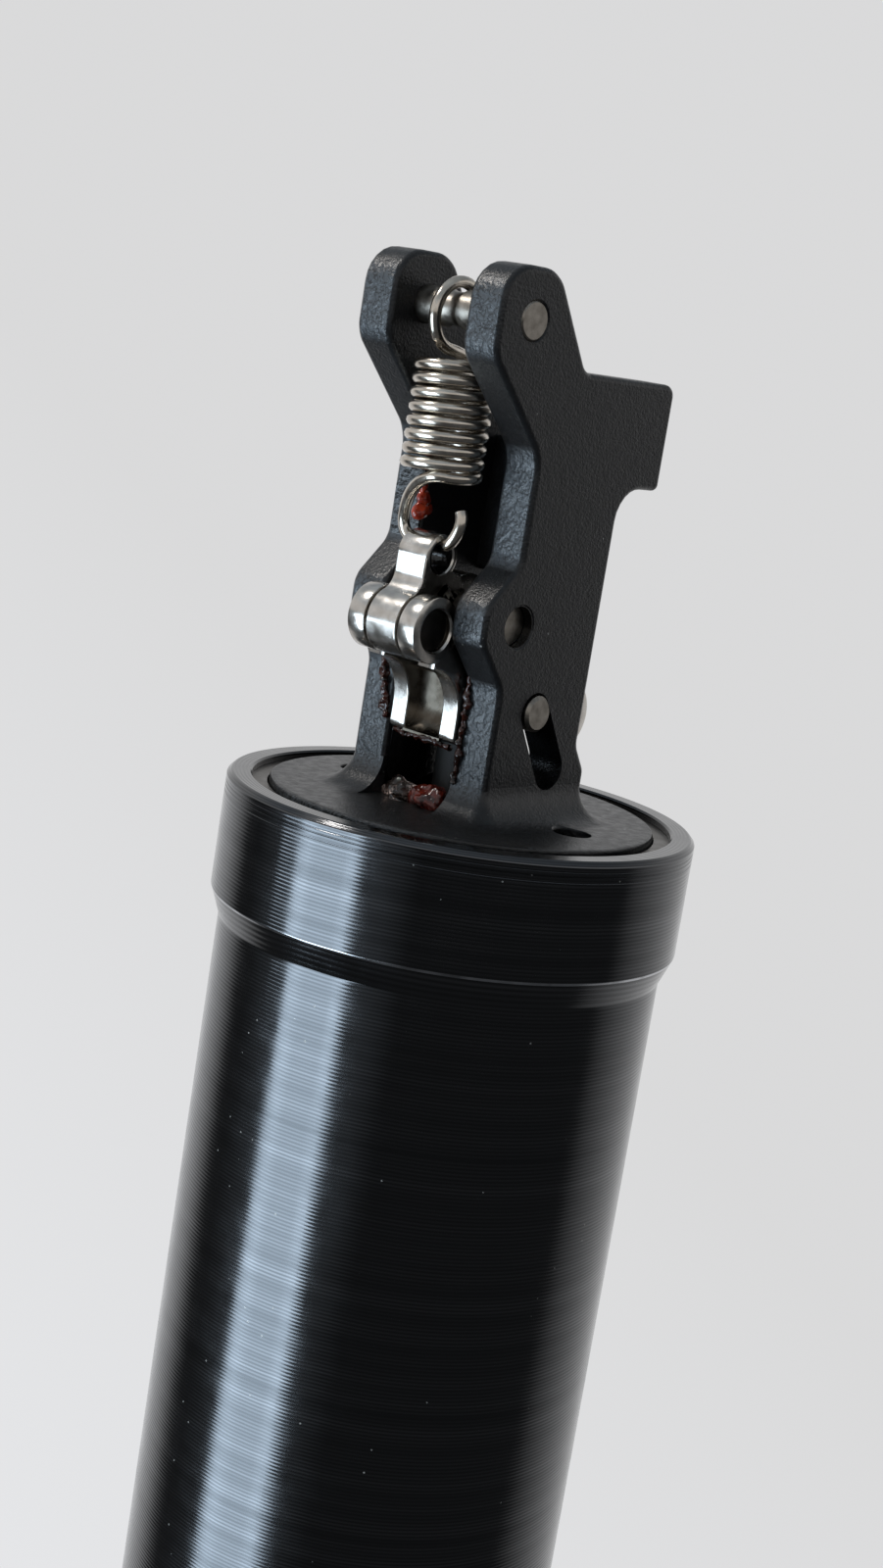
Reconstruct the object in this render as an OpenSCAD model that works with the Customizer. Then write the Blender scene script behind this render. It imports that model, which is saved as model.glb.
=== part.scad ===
// Dropper seatpost, drawn with the saddle up and its cable actuator at the foot.
// +Z points to the saddle and +X forward. The origin lies on the axis, where the shoulder meets the seat tube.
// Lengths are in millimetres. Heights in the actuator count from the foot's end face, away from the tube.

/* [Post] */
// Travel of the saddle
travel = 100; // [75:5:150]
// Diameter that the seat tube clamps
post_d = 31.6; // [30.9:0.1:34.9]
// Length of the full-diameter zone below the shoulder
clamp_zone = 95; // [60:5:110]
// Depth that the tube is turned down below that zone, on the radius
relief_depth = 0.77; // [0.4:0.01:0.9]
// Length of stanchion left inside the tube with the saddle up
overlap = 62; // [60:1:90]
// Height of the full-diameter collar at the foot
collar_h = 7.9; // [6:0.1:12]
// Wall of that collar round the bracket
collar_wall = 1.65; // [1.4:0.05:1.9]
// Length of the cone from the collar down to the turned tube
neck_h = 1.9; // [1.5:0.1:5]

/* [Seal head] */
// How far shoulder and seal nut stand out over the post
shoulder_over = 1.45; // [1:0.05:3]
// Height of the shoulder that rests on the seat tube
shoulder_h = 6; // [4:0.5:10]
// Height of the seal nut
nut_h = 11; // [10:0.5:16]
// Length of the upper bushing
bushing_l = 22; // [15:1:30]
// Wall of the upper bushing
bushing_wall = 1.2; // [0.8:0.1:1.5]
// Height of the wiper lip above the nut
lip_h = 1.5; // [1:0.1:3]

/* [Stanchion] */
// Diameter of the sliding tube
stanchion_d = 25; // [24:0.1:26]
// Wall of the sliding tube
stanchion_wall = 1.5; // [1.2:0.1:1.8]
// Gap between the sliding tube and the outer tube's bore
guide_gap = 0.5; // [0.4:0.05:0.7]
// Height of the glide ring at the stanchion's foot
glide_h = 12; // [8:1:14]
// Width of a guide key
key_w = 3; // [2:0.1:4]
// Length of a guide key
key_l = 14; // [8:1:18]

/* [Cartridge] */
// Outside diameter of the cartridge tube
cartridge_d = 19; // [17:0.5:20]
// Wall of the cartridge tube
cartridge_wall = 1; // [0.8:0.1:1.4]
// Diameter of the hollow piston rod
rod_d = 8; // [7:0.5:9]
// Diameter of the release rod inside it
release_d = 2.4; // [2:0.1:2.8]
// Length of the piston
piston_l = 10; // [8:0.5:14]
// Length of the rod guide that closes the cartridge
guide_l = 12; // [9:0.5:16]

/* [Saddle clamp] */
// Diameter of the saddle rails
rail_d = 7; // [7:0.1:9]
// Distance between the two rails
rail_spacing = 44; // [42:0.5:48]
// Height of the rails above the clamp bolt
rail_rise = 10; // [9:0.5:13]
// Length of the clamp cheeks along the rails
clamp_l = 36; // [30:1:44]
// Diameter of the clamp bolt
bolt_d = 7; // [6:0.5:8]
// Diameter of the cross barrel of the head
barrel_d = 25; // [23:0.5:28]
// Length of the cross barrel of the head
barrel_l = 22; // [20:0.5:24]

/* [Bracket] */
// Gap between the two cheek plates
cheek_gap = 6.1; // [5.7:0.1:7]
// Thickness of a cheek plate
cheek_t = 2.82; // [2.4:0.02:3.2]
// How far the cheek plates' nose reaches past the spring pin
nose_over = 3.25; // [2.8:0.05:4]
// How far the bulge round the pivot stands out ahead of the cheeks
bulge_out = 2.58; // [2:0.02:3]
// Gap between the bracket's flange and the collar
rim_gap = 1.19; // [1:0.01:1.4]
// Thickness of the bracket's base inside the collar
base_t = 3.6; // [3:0.1:5]
// Front edge of the cheeks, ahead of the axis
waist_x = 5.05; // [4.8:0.05:5.5]
// Front of the cheeks' nose, ahead of the axis
nose_x = 10.84; // [10:0.02:11.5]
// Back edge of the cheeks, behind the axis
back_x = 3.92; // [3.5:0.02:4.5]
// Back edge of the housing tab, behind the axis
tab_x = 7.9; // [7:0.1:9]
// Height of the tab's near edge
tab_low = 22.17; // [21:0.01:23.5]
// Height of the tab's far edge
tab_high = 29.15; // [28.5:0.05:30]
// Radius of the fillet at the cheeks' feet
foot_fillet = 1.6; // [1:0.1:2]
// Width of the housing slot's cable slit
slit_w = 2.2; // [1.6:0.1:3]

/* [Linkage] */
// Pivot of the bellcrank, ahead of the axis
pivot_x = 4.3; // [4.1:0.05:4.5]
// Height of that pivot
pivot_h = 12.9; // [12.5:0.05:13.3]
// Diameter of the pivot pin
pivot_d = 2.78; // [2.4:0.02:3]
// Depth that the pivot pin lies inside the cheeks
pivot_sunk = 0.75; // [0.5:0.05:1.5]
// Barrel joint, ahead of the pivot
joint_ahead = 4.35; // [4.1:0.05:4.6]
// Diameter of the barrel joint's pin
joint_d = 2.7; // [2.3:0.1:3]
// Radius of the barrel joint
joint_r = 2.15; // [2:0.05:2.4]
// Diameter of the slot pin
slot_d = 2.4; // [2.1:0.05:2.6]
// Length of the slot between its end centres
slot_l = 4.5; // [3.5:0.1:4.8]
// Slant of the slot to the axis, in degrees
slot_slant = 32; // [30:0.5:34]
// Thickness of the bellcrank
lever_t = 2.5; // [2:0.1:2.8]
// Diameter of the cable anchor
anchor_d = 3.14; // [2.8:0.02:3.4]
// Diameter of the release plunger
plunger_d = 4.4; // [4:0.1:4.6]

/* [Return spring] */
// Diameter of the spring pin
spring_pin_d = 2.45; // [2.2:0.05:2.8]
// Spring pin, ahead of the axis
spring_x = 7.6; // [7.4:0.05:7.8]
// Height of the spring pin
spring_h = 31.8; // [31.6:0.05:32]
// Diameter of the spring wire
wire_d = 0.5; // [0.4:0.02:0.5]
// Number of coils
coils = 8; // [6:1:8]
// Rise of one coil
pitch = 0.92; // [0.92:0.01:0.98]
// Outside diameter of the top coil
coil_top_d = 5; // [4.6:0.1:5.2]
// Outside diameter of the bottom coil
coil_low_d = 5.2; // [4.6:0.1:5.4]

/* [Hidden] */
$fn = 64;

// Clearances: between pieces fixed together, between running pieces, and past moving pieces
seat = 0.02;
run = 0.05;
pass = 0.3;
eps = 0.2;

// Radii of the tubes
post_r = post_d / 2;
relief_r = post_r - relief_depth;
stan_r = stanchion_d / 2;
stan_in_r = stan_r - stanchion_wall;
bore_r = stan_r + guide_gap;
recess_r = post_r - collar_wall;
flange_r = recess_r - rim_gap;
nut_r = post_r + shoulder_over;
thread_step = 0.6;
thread_r = post_r - thread_step;
bushing_r = stan_r + run + bushing_wall;
cart_r = cartridge_d / 2;
cart_in_r = cart_r - cartridge_wall;
rod_r = rod_d / 2;
rod_bore_r = release_d / 2 + pass / 2;

// Heights at the foot
boss_h = 6.4;
boss_wall = 3;
boss_r = rod_r + boss_wall;
bumper_t = 3.7;
cap_recess = 4;
bottom_gap = 0.3;
foot_room = base_t + boss_h + bumper_t + bottom_gap - cap_recess;
insertion = overlap + travel + foot_room;
flange_t = 1.6;
groove_low = 0.5;
groove_high = 1.55;
groove_deep = 0.5;
edge = 0.33;
rod_seat = 5;

// Heights at the mouth and the head
nut_low = shoulder_h;
nut_top = shoulder_h + nut_h;
thread_h = 7;
tube_top = shoulder_h + thread_h;
head_gap = 2.5;
head_z = nut_top + lip_h + travel + head_gap;
socket_depth = 14;
stan_low = -overlap;
stan_top = head_z + socket_depth;
crown = 0.5;
clamp_z = stan_top + crown + barrel_d / 2;
rail_y = rail_spacing / 2;
rail_z = clamp_z + rail_rise;

// Stations along the cartridge
cart_low = stan_low + cap_recess;
guide_top = cart_low + guide_l;
topout_t = 2;
piston_low = guide_top + topout_t + run;
piston_top = piston_low + piston_l;
displaced = pow(rod_r / cart_in_r, 2);
float_l = 10;
float_room = 14;
float_low = piston_top + travel * (1 - displaced) + float_room;
plug_l = 10;
seal_section = 1.6;

// Linkage points as [ahead of the axis, height]
cheek_in = cheek_gap / 2;
cheek_out = cheek_in + cheek_t;
cheek_h = spring_h + nose_over;
joint_drop = 0.9;
lug_ahead = 3.05;
lug_rise = 3.5;
arm_back = 10.1;
arm_drop = 6.5;
link_back = 7.45;
link_drop = 4.73;
pivot = [pivot_x, pivot_h];
joint = pivot + [joint_ahead, -joint_drop];
lug = pivot + [lug_ahead, lug_rise];
anchor = pivot - [arm_back, arm_drop];
slot_pin_at = joint - [link_back, link_drop];
slot_way = [-sin(slot_slant), -cos(slot_slant)];
slot_end = slot_pin_at + slot_l * slot_way;
slot_play = 0.16;
spring_at = [spring_x, spring_h];
side_play = 0.2;
fork_out = cheek_in - side_play;
fork_in = lever_t / 2 + 0.25;
hub_wall = 1.21;
hub_r = pivot_d / 2 + hub_wall;
lug_r = 1.5;
lug_hole_r = 1.02;
link_wall = 0.75;
link_end_r = slot_d / 2 + link_wall;
anchor_wall = 0.93;
anchor_end_r = anchor_d / 2 + anchor_wall;
arm_half = 1.5;
plunger_r = plunger_d / 2;
plunger_top = slot_pin_at[1] - slot_d / 2 - 0.15;
plunger_low = -3;

function unit(v) = v / norm(v);
function turn(v) = [-v[1], v[0]];

// Points along an arc about c
function arc(c, r, from, to, n = 8) =
    [for (i = [0:n]) c + r * [cos(from + (to - from) * i / n), sin(from + (to - from) * i / n)]];

// A smooth run between two profile points, level at both ends
function ease(p, q, n = 8) =
    [for (i = [0:n]) [p[0] + (q[0] - p[0]) * (1 - cos(180 * i / n)) / 2, p[1] + (q[1] - p[1]) * i / n]];

// The arc that rounds the corner b of the path a, b, c
function corner(a, b, c, r, n = 6) =
    let (u = unit(a - b), v = unit(c - b), half = acos(u * v) / 2,
         mid = b + unit(u + v) * r / sin(half),
         s = b + u * r / tan(half) - mid, e = b + v * r / tan(half) - mid,
         from = atan2(s[1], s[0]), sweep = (atan2(e[1], e[0]) - from + 540) % 360 - 180)
    arc(mid, r, from, from + sweep, n);

// An outline from corners given as [x, y, rounding]
function rounded(p) =
    let (n = len(p), xy = [for (q = p) [q[0], q[1]]])
    [for (i = [0:n - 1]) each (p[i][2] == 0 ? [xy[i]]
        : corner(xy[(i + n - 1) % n], xy[i], xy[(i + 1) % n], p[i][2]))];

// Turns the actuator, drawn with its height upward, into its place below the foot
module at_foot() {
    translate([0, 0, -insertion]) rotate([180, 0, 0]) children();
}

// A plate between two offsets to the side, from an outline of [ahead, height]
module plate(from, to) {
    translate([0, to, 0]) rotate([90, 0, 0]) linear_extrude(to - from) children();
}

// A plate and its mirror image on the other side
module plate_pair(from, to) {
    plate(from, to) children();
    plate(-to, -from) children();
}

// A cross pin or hole at [ahead, height], between two offsets to the side
module cross(at, r, from, to) {
    translate([at[0], to, at[1]]) rotate([90, 0, 0]) cylinder(r = r, h = to - from);
}

// A ring about the post axis
module ring(r_in, r_out, low, high) {
    rotate_extrude() translate([r_in, low]) square([r_out - r_in, high - low]);
}

// A seal ring of round section about the post axis
module o_ring(r_in, section, z) {
    rotate_extrude() translate([r_in + section / 2, z]) circle(d = section, $fn = 32);
}

// A straight bar between two points of an outline, with half its width
module bar2d(p, q, half) {
    side = half * turn(unit(q - p));
    polygon([p + side, q + side, q - side, p - side]);
}

// Outer tube: shoulder and thread at the mouth, clamping zone, turned relief, collar at the foot
module outer_tube() {
    foot = -insertion;
    round_r = 1;
    outside = concat(
        [[recess_r, foot], [post_r - edge, foot], [post_r, foot + edge]],
        [[post_r, foot + collar_h], [relief_r, foot + collar_h + neck_h]],
        ease([relief_r, -clamp_zone - neck_h], [post_r, -clamp_zone]),
        [[post_r, 0], [nut_r - round_r, 0]],
        arc([nut_r - round_r, round_r], round_r, -90, 0, 4),
        [[nut_r, shoulder_h], [thread_r, shoulder_h], [thread_r, tube_top]]);
    inside = [[bushing_r + seat, tube_top], [bushing_r + seat, tube_top - bushing_l - seat],
              [bore_r, tube_top - bushing_l - seat], [bore_r, foot + base_t], [recess_r, foot + base_t],
              [recess_r, foot + groove_high], [recess_r + groove_deep, foot + groove_high],
              [recess_r + groove_deep, foot + groove_low], [recess_r, foot + groove_low]];
    keyway_low = stan_low - travel + glide_h;
    keyway_h = tube_top - bushing_l - keyway_low;
    keyway_r = bore_r + 0.7;
    color("#141517") difference() {
        rotate_extrude($fn = 96) polygon(concat(outside, inside));
        for (a = [0:120:240]) rotate(a)
            translate([stan_r - eps, -key_w / 2 - 0.1, keyway_low])
                cube([keyway_r - stan_r + eps, key_w + 0.2, keyway_h]);
    }
}

// Upper bushing that the stanchion slides in
module upper_bushing() {
    color("#6b5a3a") ring(stan_r + run, bushing_r, tube_top - bushing_l, tube_top);
}

// Seal nut, screwed over the mouth of the outer tube, with flutes for grip
module seal_nut() {
    flutes = 24;
    flute_r = 1.4;
    bevel = 1.2;
    pocket = wiper_r() + seat;
    profile = [[thread_r + seat, nut_low], [nut_r, nut_low], [nut_r, nut_top - bevel], [nut_r - bevel, nut_top],
               [pocket, nut_top], [pocket, tube_top + seat], [thread_r + seat, tube_top + seat]];
    color("#1b1c1e") difference() {
        rotate_extrude($fn = 96) polygon(profile);
        for (i = [0:flutes - 1]) rotate(360 / flutes * i)
            translate([nut_r + flute_r * 0.75, 0, nut_low + bevel])
                cylinder(r = flute_r, h = nut_h - 3 * bevel, $fn = 24);
    }
}

wiper_inset = 0.65;
function wiper_r() = thread_r - wiper_inset;

// Wiper seal in the nut, with its lip round the stanchion
lip_fit = 0.12;
lip_t = 1;
module wiper_seal() {
    lip_r = stan_r + lip_fit;
    body_r = lip_r + 0.6 * lip_t;
    lip_top = nut_top + lip_h;
    lip_edge = lip_top - 0.3 * lip_t;
    color("#202020") rotate_extrude() polygon([
        [body_r, tube_top + seat], [wiper_r(), tube_top + seat], [wiper_r(), nut_top],
        [lip_r + lip_t, lip_edge], [lip_r + 0.4 * lip_t, lip_top],
        [lip_r, lip_edge], [lip_r, nut_top - 0.6 * lip_t],
        [body_r, nut_top - 1.2 * lip_t]]);
}

// The cheek plates' outline, from the foot up the front, round the nose, the tab and down the back
heel_h = 3.3;
heel_out = 1.18;
bulge_low = 4.15;
bulge_high = 3.8;
bulge_flat = 1.15;
nose_low = 8.2;
crown_back = 1.83;
slope_back = 5.89;
function heel_x() = back_x + heel_out;
function cheek_outline() = rounded([
    [waist_x, -1, 0], [waist_x, pivot_h - bulge_low, 1.6],
    [waist_x + bulge_out, pivot_h - bulge_flat, 1.4], [waist_x + bulge_out, pivot_h + bulge_flat, 1.6],
    [waist_x, pivot_h + bulge_high, 1.5], [waist_x, spring_h - nose_low, 2.5],
    [nose_x, spring_h - nose_low + nose_x - waist_x, 2], [nose_x, cheek_h, 2.4],
    [spring_x - crown_back, cheek_h, 2.2], [spring_x - slope_back, tab_high, 1.2],
    [-tab_x, tab_high, 0.8], [-tab_x, tab_low, 0.45], [-back_x, tab_low, 2.2],
    [-back_x, heel_h + 1.7, 1.2], [-heel_x(), heel_h, 1], [-heel_x(), -1, 0]]);

// Section of the fillet where a cheek stands on the flange
module fillet_section(under) {
    polygon(concat([[-under, -eps], [foot_fillet, -eps]],
        arc([foot_fillet, foot_fillet], foot_fillet, 270, 180, 6), [[-under, foot_fillet]]));
}

// Fillets round the front, outer and back side of one cheek's foot
module cheek_fillets() {
    front_back = cheek_t - eps;
    translate([-heel_x(), cheek_out, 0]) rotate([90, 0, 90])
        linear_extrude(heel_x() + waist_x) fillet_section(eps);
    translate([waist_x, cheek_out, 0]) {
        rotate([90, 0, 0]) linear_extrude(front_back) fillet_section(eps);
        rotate_extrude(angle = 90) fillet_section(0);
    }
    translate([-heel_x(), cheek_out, 0]) {
        mirror([1, 0, 0]) rotate([90, 0, 0]) linear_extrude(front_back) fillet_section(eps);
        rotate(90) rotate_extrude(angle = 90) fillet_section(0);
    }
}

// The slanted slot that the slot pin slides in, across both cheeks
module slot_cut() {
    reach = cheek_out + 1;
    half = slot_d / 2 + slot_play;
    for (p = [slot_pin_at, slot_end]) cross(p, half, -reach, reach);
    plate(-reach, reach) bar2d(slot_pin_at, slot_end, half);
}

// Actuator bracket: flange and boss in the foot, two cheeks, and the wall and housing shelf between them
module actuator_bracket() {
    reach = cheek_out + 1;
    wall_x = 1.15;
    wall_low = pivot_h + 2.3;
    shelf_top = tab_low + 2;
    spanner_at = [-0.8, (flange_r + cheek_out) / 2 - 0.5];
    spanner_r = 1.3;
    slit_x = anchor[0];
    color("#17181a") at_foot() difference() {
        union() {
            rotate_extrude($fn = 96) polygon([
                [0, 0], [flange_r - eps, 0], [flange_r, -eps], [flange_r, -flange_t],
                [recess_r - run, -flange_t], [recess_r - run, -base_t], [boss_r, -base_t],
                [boss_r, -base_t - boss_h], [0, -base_t - boss_h]]);
            plate_pair(cheek_in, cheek_out) polygon(cheek_outline());
            for (side = [0, 1]) mirror([0, side, 0]) cheek_fillets();
            translate([-back_x, -cheek_in - eps, wall_low])
                cube([back_x - wall_x, cheek_gap + 2 * eps, shelf_top - wall_low]);
            translate([-tab_x, -cheek_in - eps, tab_low])
                cube([tab_x - wall_x, cheek_gap + 2 * eps, shelf_top - tab_low]);
        }
        cross(spring_at, spring_pin_d / 2 + seat, -reach, reach);
        cross(pivot, pivot_d / 2 + seat, -reach, reach);
        slot_cut();
        for (turned = [0, 180]) rotate(turned) translate([spanner_at[0], spanner_at[1], -base_t - 1])
            cylinder(r = spanner_r, h = base_t + 2);
        translate([slit_x, 0, tab_low - 1]) cylinder(d = slit_w, h = shelf_top - tab_low + 2);
        translate([-tab_x - 1, -slit_w / 2, tab_low - 1])
            cube([tab_x + 1 + slit_x, slit_w, shelf_top - tab_low + 2]);
        translate([0, 0, -rod_seat - eps]) cylinder(r = plunger_r + run, h = rod_seat + 1);
        translate([0, 0, -base_t - boss_h - 1]) cylinder(r = rod_r + seat, h = base_t + boss_h + 1 - rod_seat);
    }
}

// Snap ring in the collar's groove, open at one side, that holds the bracket's base down
module snap_ring() {
    opening = 24;
    color("#2c2d30") at_foot() rotate(opening / 2 + 90) rotate_extrude(angle = 360 - opening)
        translate([flange_r + 0.12, -groove_high + seat])
            square([rim_gap + groove_deep - 0.12 - run, groove_high - groove_low - 2 * seat]);
}

// Spring pin across the cheeks, with the groove that the spring's loop hangs in
groove_at = -0.4;
groove_w = 1.6;
groove_r = 1.05;
module spring_pin() {
    color("#8a857c") at_foot() {
        cross(spring_at, spring_pin_d / 2, -cheek_out, groove_at - groove_w / 2);
        cross(spring_at, groove_r, groove_at - groove_w / 2 - eps, groove_at + groove_w / 2 + eps);
        cross(spring_at, spring_pin_d / 2, groove_at + groove_w / 2, cheek_out);
    }
}

// Pivot pin of the bellcrank, sunk in the cheeks
module pivot_pin() {
    half = cheek_out - pivot_sunk;
    color("#8a857c") at_foot() cross(pivot, pivot_d / 2, -half, half);
}

// Slot pin, held in the link and guided by the slots, with chamfered ends proud of the cheeks
module slot_pin() {
    half = cheek_out + 0.33;
    bevel = 0.2;
    color("#8a857c") at_foot() translate([slot_pin_at[0], 0, slot_pin_at[1]]) rotate([90, 0, 0])
        rotate_extrude() polygon([[0, -half], [slot_d / 2 - bevel, -half], [slot_d / 2, bevel - half],
                                  [slot_d / 2, half - bevel], [slot_d / 2 - bevel, half], [0, half]]);
}

// Outline of the bellcrank: hub, barrel joint, spring lug with a hollow neck, and the root of the cable arm
neck_r = 1.3;
module bellcrank_outline() {
    root = pivot + 0.7 * (anchor - pivot);
    neck_x = lug[0] + lug_r + neck_r - joint[0];
    neck_y = sqrt(pow(joint_r + neck_r, 2) - neck_x * neck_x);
    translate(pivot) circle(hub_r);
    translate(joint) circle(joint_r);
    translate(lug) circle(lug_r);
    polygon(concat([lug + [lug_r, 0]],
        arc(joint + [neck_x, neck_y], neck_r, 180, 180 + atan2(neck_y, neck_x), 6),
        [joint, pivot, pivot + [0, hub_r - 0.4], lug + [-1.2, -0.9]]));
    bar2d(joint, pivot, joint_r - 0.3);
    bar2d(pivot, root, arm_half);
}

// Bellcrank: one plate in front, widened to a fork at the back that takes the cable anchor
module bellcrank() {
    reach = cheek_in;
    start = pivot + 0.61 * (anchor - pivot);
    bridge = pivot + 0.74 * (anchor - pivot);
    color("#b9b4aa") at_foot() difference() {
        union() {
            plate(-lever_t / 2, lever_t / 2) bellcrank_outline();
            plate(-fork_out, fork_out) bar2d(start, bridge, arm_half);
            plate_pair(fork_in, fork_out) {
                bar2d(start, anchor, arm_half);
                translate(anchor) circle(anchor_end_r);
            }
        }
        cross(pivot, pivot_d / 2 + run, -reach, reach);
        cross(joint, joint_d / 2 + run, -reach, reach);
        cross(lug, lug_hole_r, -reach, reach);
        cross(anchor, anchor_d / 2 + run, -reach, reach);
    }
}

// Cable anchor: a swivel with a cross hole for the cable and a thread for the screw in one end
anchor_screw_r = 0.9;
anchor_screw_l = 1.6;
cable_hole_r = 0.75;
module cable_anchor() {
    half = fork_out - 0.1;
    color("#9d9a94") at_foot() difference() {
        cross(anchor, anchor_d / 2, -half, half);
        cross(anchor, anchor_screw_r + seat, cable_hole_r, half + 1);
        translate([anchor[0], 0, anchor[1] - anchor_d]) cylinder(r = cable_hole_r, h = 2 * anchor_d, $fn = 32);
    }
}

// Screw that pinches the cable in the anchor, with a hexagon socket
module anchor_screw() {
    outer = fork_out - 0.4;
    socket_r = 0.5;
    color("#2b2b2d") at_foot() difference() {
        cross(anchor, anchor_screw_r, outer - anchor_screw_l, outer);
        translate([anchor[0], outer + eps, anchor[1]]) rotate([90, 0, 0])
            cylinder(r = socket_r, h = 0.7 + eps, $fn = 6);
    }
}

// Outline of one side of the link: barrel ear, slot-pin end and the scooped chin between them
scoop_c = [joint[0] - 0.15, joint[1] - 6.05];
scoop_r = 3.2;
chin_low = joint[1] - 7.45;
module link_side() {
    up = 1.35 * unit(turn(joint - slot_pin_at));
    chin_x = scoop_c[0] - scoop_r;
    difference() {
        union() {
            translate(joint) circle(joint_r);
            translate(slot_pin_at) circle(link_end_r);
            polygon([joint + up, slot_pin_at + up, slot_pin_at, slot_pin_at + [-0.9, -1.6],
                     [slot_pin_at[0] + 0.6, chin_low], [chin_x - 0.3, chin_low], [chin_x, chin_low + 0.3],
                     [chin_x, scoop_c[1]], scoop_c, [scoop_c[0], joint[1] - 1.5], joint]);
        }
        translate(scoop_c) circle(scoop_r);
    }
}

// Outline of the web between the link's sides, hollowed deeper in front and kept clear of the plunger's tip
module link_web() {
    top = joint[1] - 3.1;
    back = slot_pin_at[0] + 1.55;
    deeper = scoop_r + 1.2;
    difference() {
        polygon([[back, chin_low], [scoop_c[0] - scoop_r, chin_low], [scoop_c[0], top], [back, top]]);
        translate(scoop_c) circle(deeper);
    }
}

// Push link: two sides joined by the web, from the barrel joint back to the slot pin
module push_link() {
    reach = cheek_in;
    color("#b9b4aa") at_foot() difference() {
        union() {
            plate_pair(fork_in, fork_out) link_side();
            plate(-fork_in - eps, fork_in + eps) link_web();
        }
        cross(joint, joint_d / 2 + seat, -reach, reach);
        cross(slot_pin_at, slot_d / 2 + seat, -reach, reach);
    }
}

// Pin of the barrel joint, a hair below the link's ears
module link_pin() {
    half = fork_out - 0.1;
    color("#3c3a37") at_foot() cross(joint, joint_d / 2, -half, half);
}

// Plunger with a narrow tip, which reaches up between the link's sides to the slot pin
module release_plunger() {
    shoulder = chin_low - pass;
    tip_r = fork_in - 0.2;
    bevel = 0.4;
    color("#1d1d1e") at_foot() rotate_extrude() polygon([
        [0, plunger_low], [plunger_r, plunger_low], [plunger_r, shoulder - bevel],
        [plunger_r - bevel, shoulder], [tip_r, shoulder], [tip_r, plunger_top - bevel / 2],
        [tip_r - bevel / 2, plunger_top], [0, plunger_top]]);
}

// Release rod inside the hollow piston rod, from the plunger to the valve
poppet_stem = 7;
module release_rod() {
    low = -insertion - plunger_low;
    high = piston_top - poppet_stem;
    color("#a9a8a4") translate([0, 0, low]) cylinder(d = release_d, h = high - low - seat, $fn = 48);
}

// Valve poppet that closes the piston from above
module valve_poppet() {
    head_t = 1.5;
    head_r = rod_bore_r + 1.2;
    color("#b08d57") rotate_extrude() polygon([
        [0, piston_top - poppet_stem], [release_d / 2, piston_top - poppet_stem],
        [release_d / 2, piston_top + seat], [head_r, piston_top + seat],
        [head_r, piston_top + head_t - 0.4], [head_r - 0.4, piston_top + head_t],
        [0, piston_top + head_t]]);
}

// Hollow piston rod, screwed into the bracket's boss
module piston_rod() {
    color("#b5b5b3") ring(rod_bore_r, rod_r, -insertion + rod_seat, piston_top);
}

// Piston on the rod, grooved for its seal
module piston() {
    seal_z = (piston_low + piston_top) / 2;
    half = seal_section / 2 + run;
    floor_r = cart_in_r - seal_section;
    color("#8f9196") rotate_extrude() polygon([
        [rod_r + seat, piston_low], [cart_in_r - run, piston_low], [cart_in_r - run, seal_z - half],
        [floor_r - run, seal_z - half], [floor_r - run, seal_z + half], [cart_in_r - run, seal_z + half],
        [cart_in_r - run, piston_top], [rod_r + seat, piston_top]]);
}

module piston_seal() {
    color("#1c1c1c") o_ring(cart_in_r - seal_section, seal_section - run / 2, (piston_low + piston_top) / 2);
}

// Bumpers at both ends of the stroke
module bottom_bumper() {
    low = -insertion + base_t + boss_h;
    color("#b33a2a") ring(rod_r + 0.1, boss_r, low, low + bumper_t);
}

module topout_bumper() {
    color("#b33a2a") ring(rod_r + 0.1, cart_in_r - 1, guide_top, guide_top + topout_t);
}

// Stanchion, with a groove for the glide ring and pockets for the guide keys near its foot
glide_foot = 2;
key_gap = 4;
module stanchion() {
    glide_low = stan_low + glide_foot;
    color("#101112") difference() {
        ring(stan_in_r, stan_r, stan_low, stan_top);
        ring(stan_r - glide_deep(), stan_r + 1, glide_low, glide_low + glide_h);
        for (a = [0:120:240]) rotate(a) translate([stan_in_r - eps, -key_w / 2 - seat, key_low() - seat])
            cube([stanchion_wall + 1, key_w + 2 * seat, key_l + 2 * seat]);
    }
}

function glide_deep() = stanchion_wall / 3;
function key_low() = stan_low + glide_foot + glide_h + key_gap;

// Glide ring that runs in the outer tube's bore
module glide_ring() {
    low = stan_low + glide_foot + seat;
    color("#6b5a3a") ring(stan_r - glide_deep() + seat, bore_r - run, low, low + glide_h - 2 * seat);
}

// Three brass keys that stop the stanchion from turning
module guide_keys() {
    color("#b08d57") for (a = [0:120:240]) rotate(a)
        translate([stan_in_r + 0.2, -key_w / 2, key_low()])
            cube([bore_r + 0.55 - stan_in_r - 0.2, key_w, key_l]);
}

// Cartridge tube inside the stanchion, up to the head
module cartridge_tube() {
    color("#7d7f83") ring(cart_in_r, cart_r, cart_low, stan_top);
}

// Rod guide that closes the cartridge, grooved inside for the rod's seal
module rod_guide() {
    seal_z = (cart_low + guide_top) / 2;
    half = seal_section / 2 + run;
    color("#8f9196") rotate_extrude() polygon([
        [rod_r + run, cart_low], [cart_in_r - seat, cart_low], [cart_in_r - seat, guide_top],
        [rod_r + run, guide_top], [rod_r + run, seal_z + half], [rod_r + seal_section + run, seal_z + half],
        [rod_r + seal_section + run, seal_z - half], [rod_r + run, seal_z - half]]);
}

module rod_seal() {
    color("#1c1c1c") o_ring(rod_r + run / 2, seal_section - run / 2, (cart_low + guide_top) / 2);
}

// Plug at the head end of the cartridge
module cartridge_plug() {
    color("#8f9196") translate([0, 0, stan_top - plug_l]) cylinder(r = cart_in_r - seat, h = plug_l);
}

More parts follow.
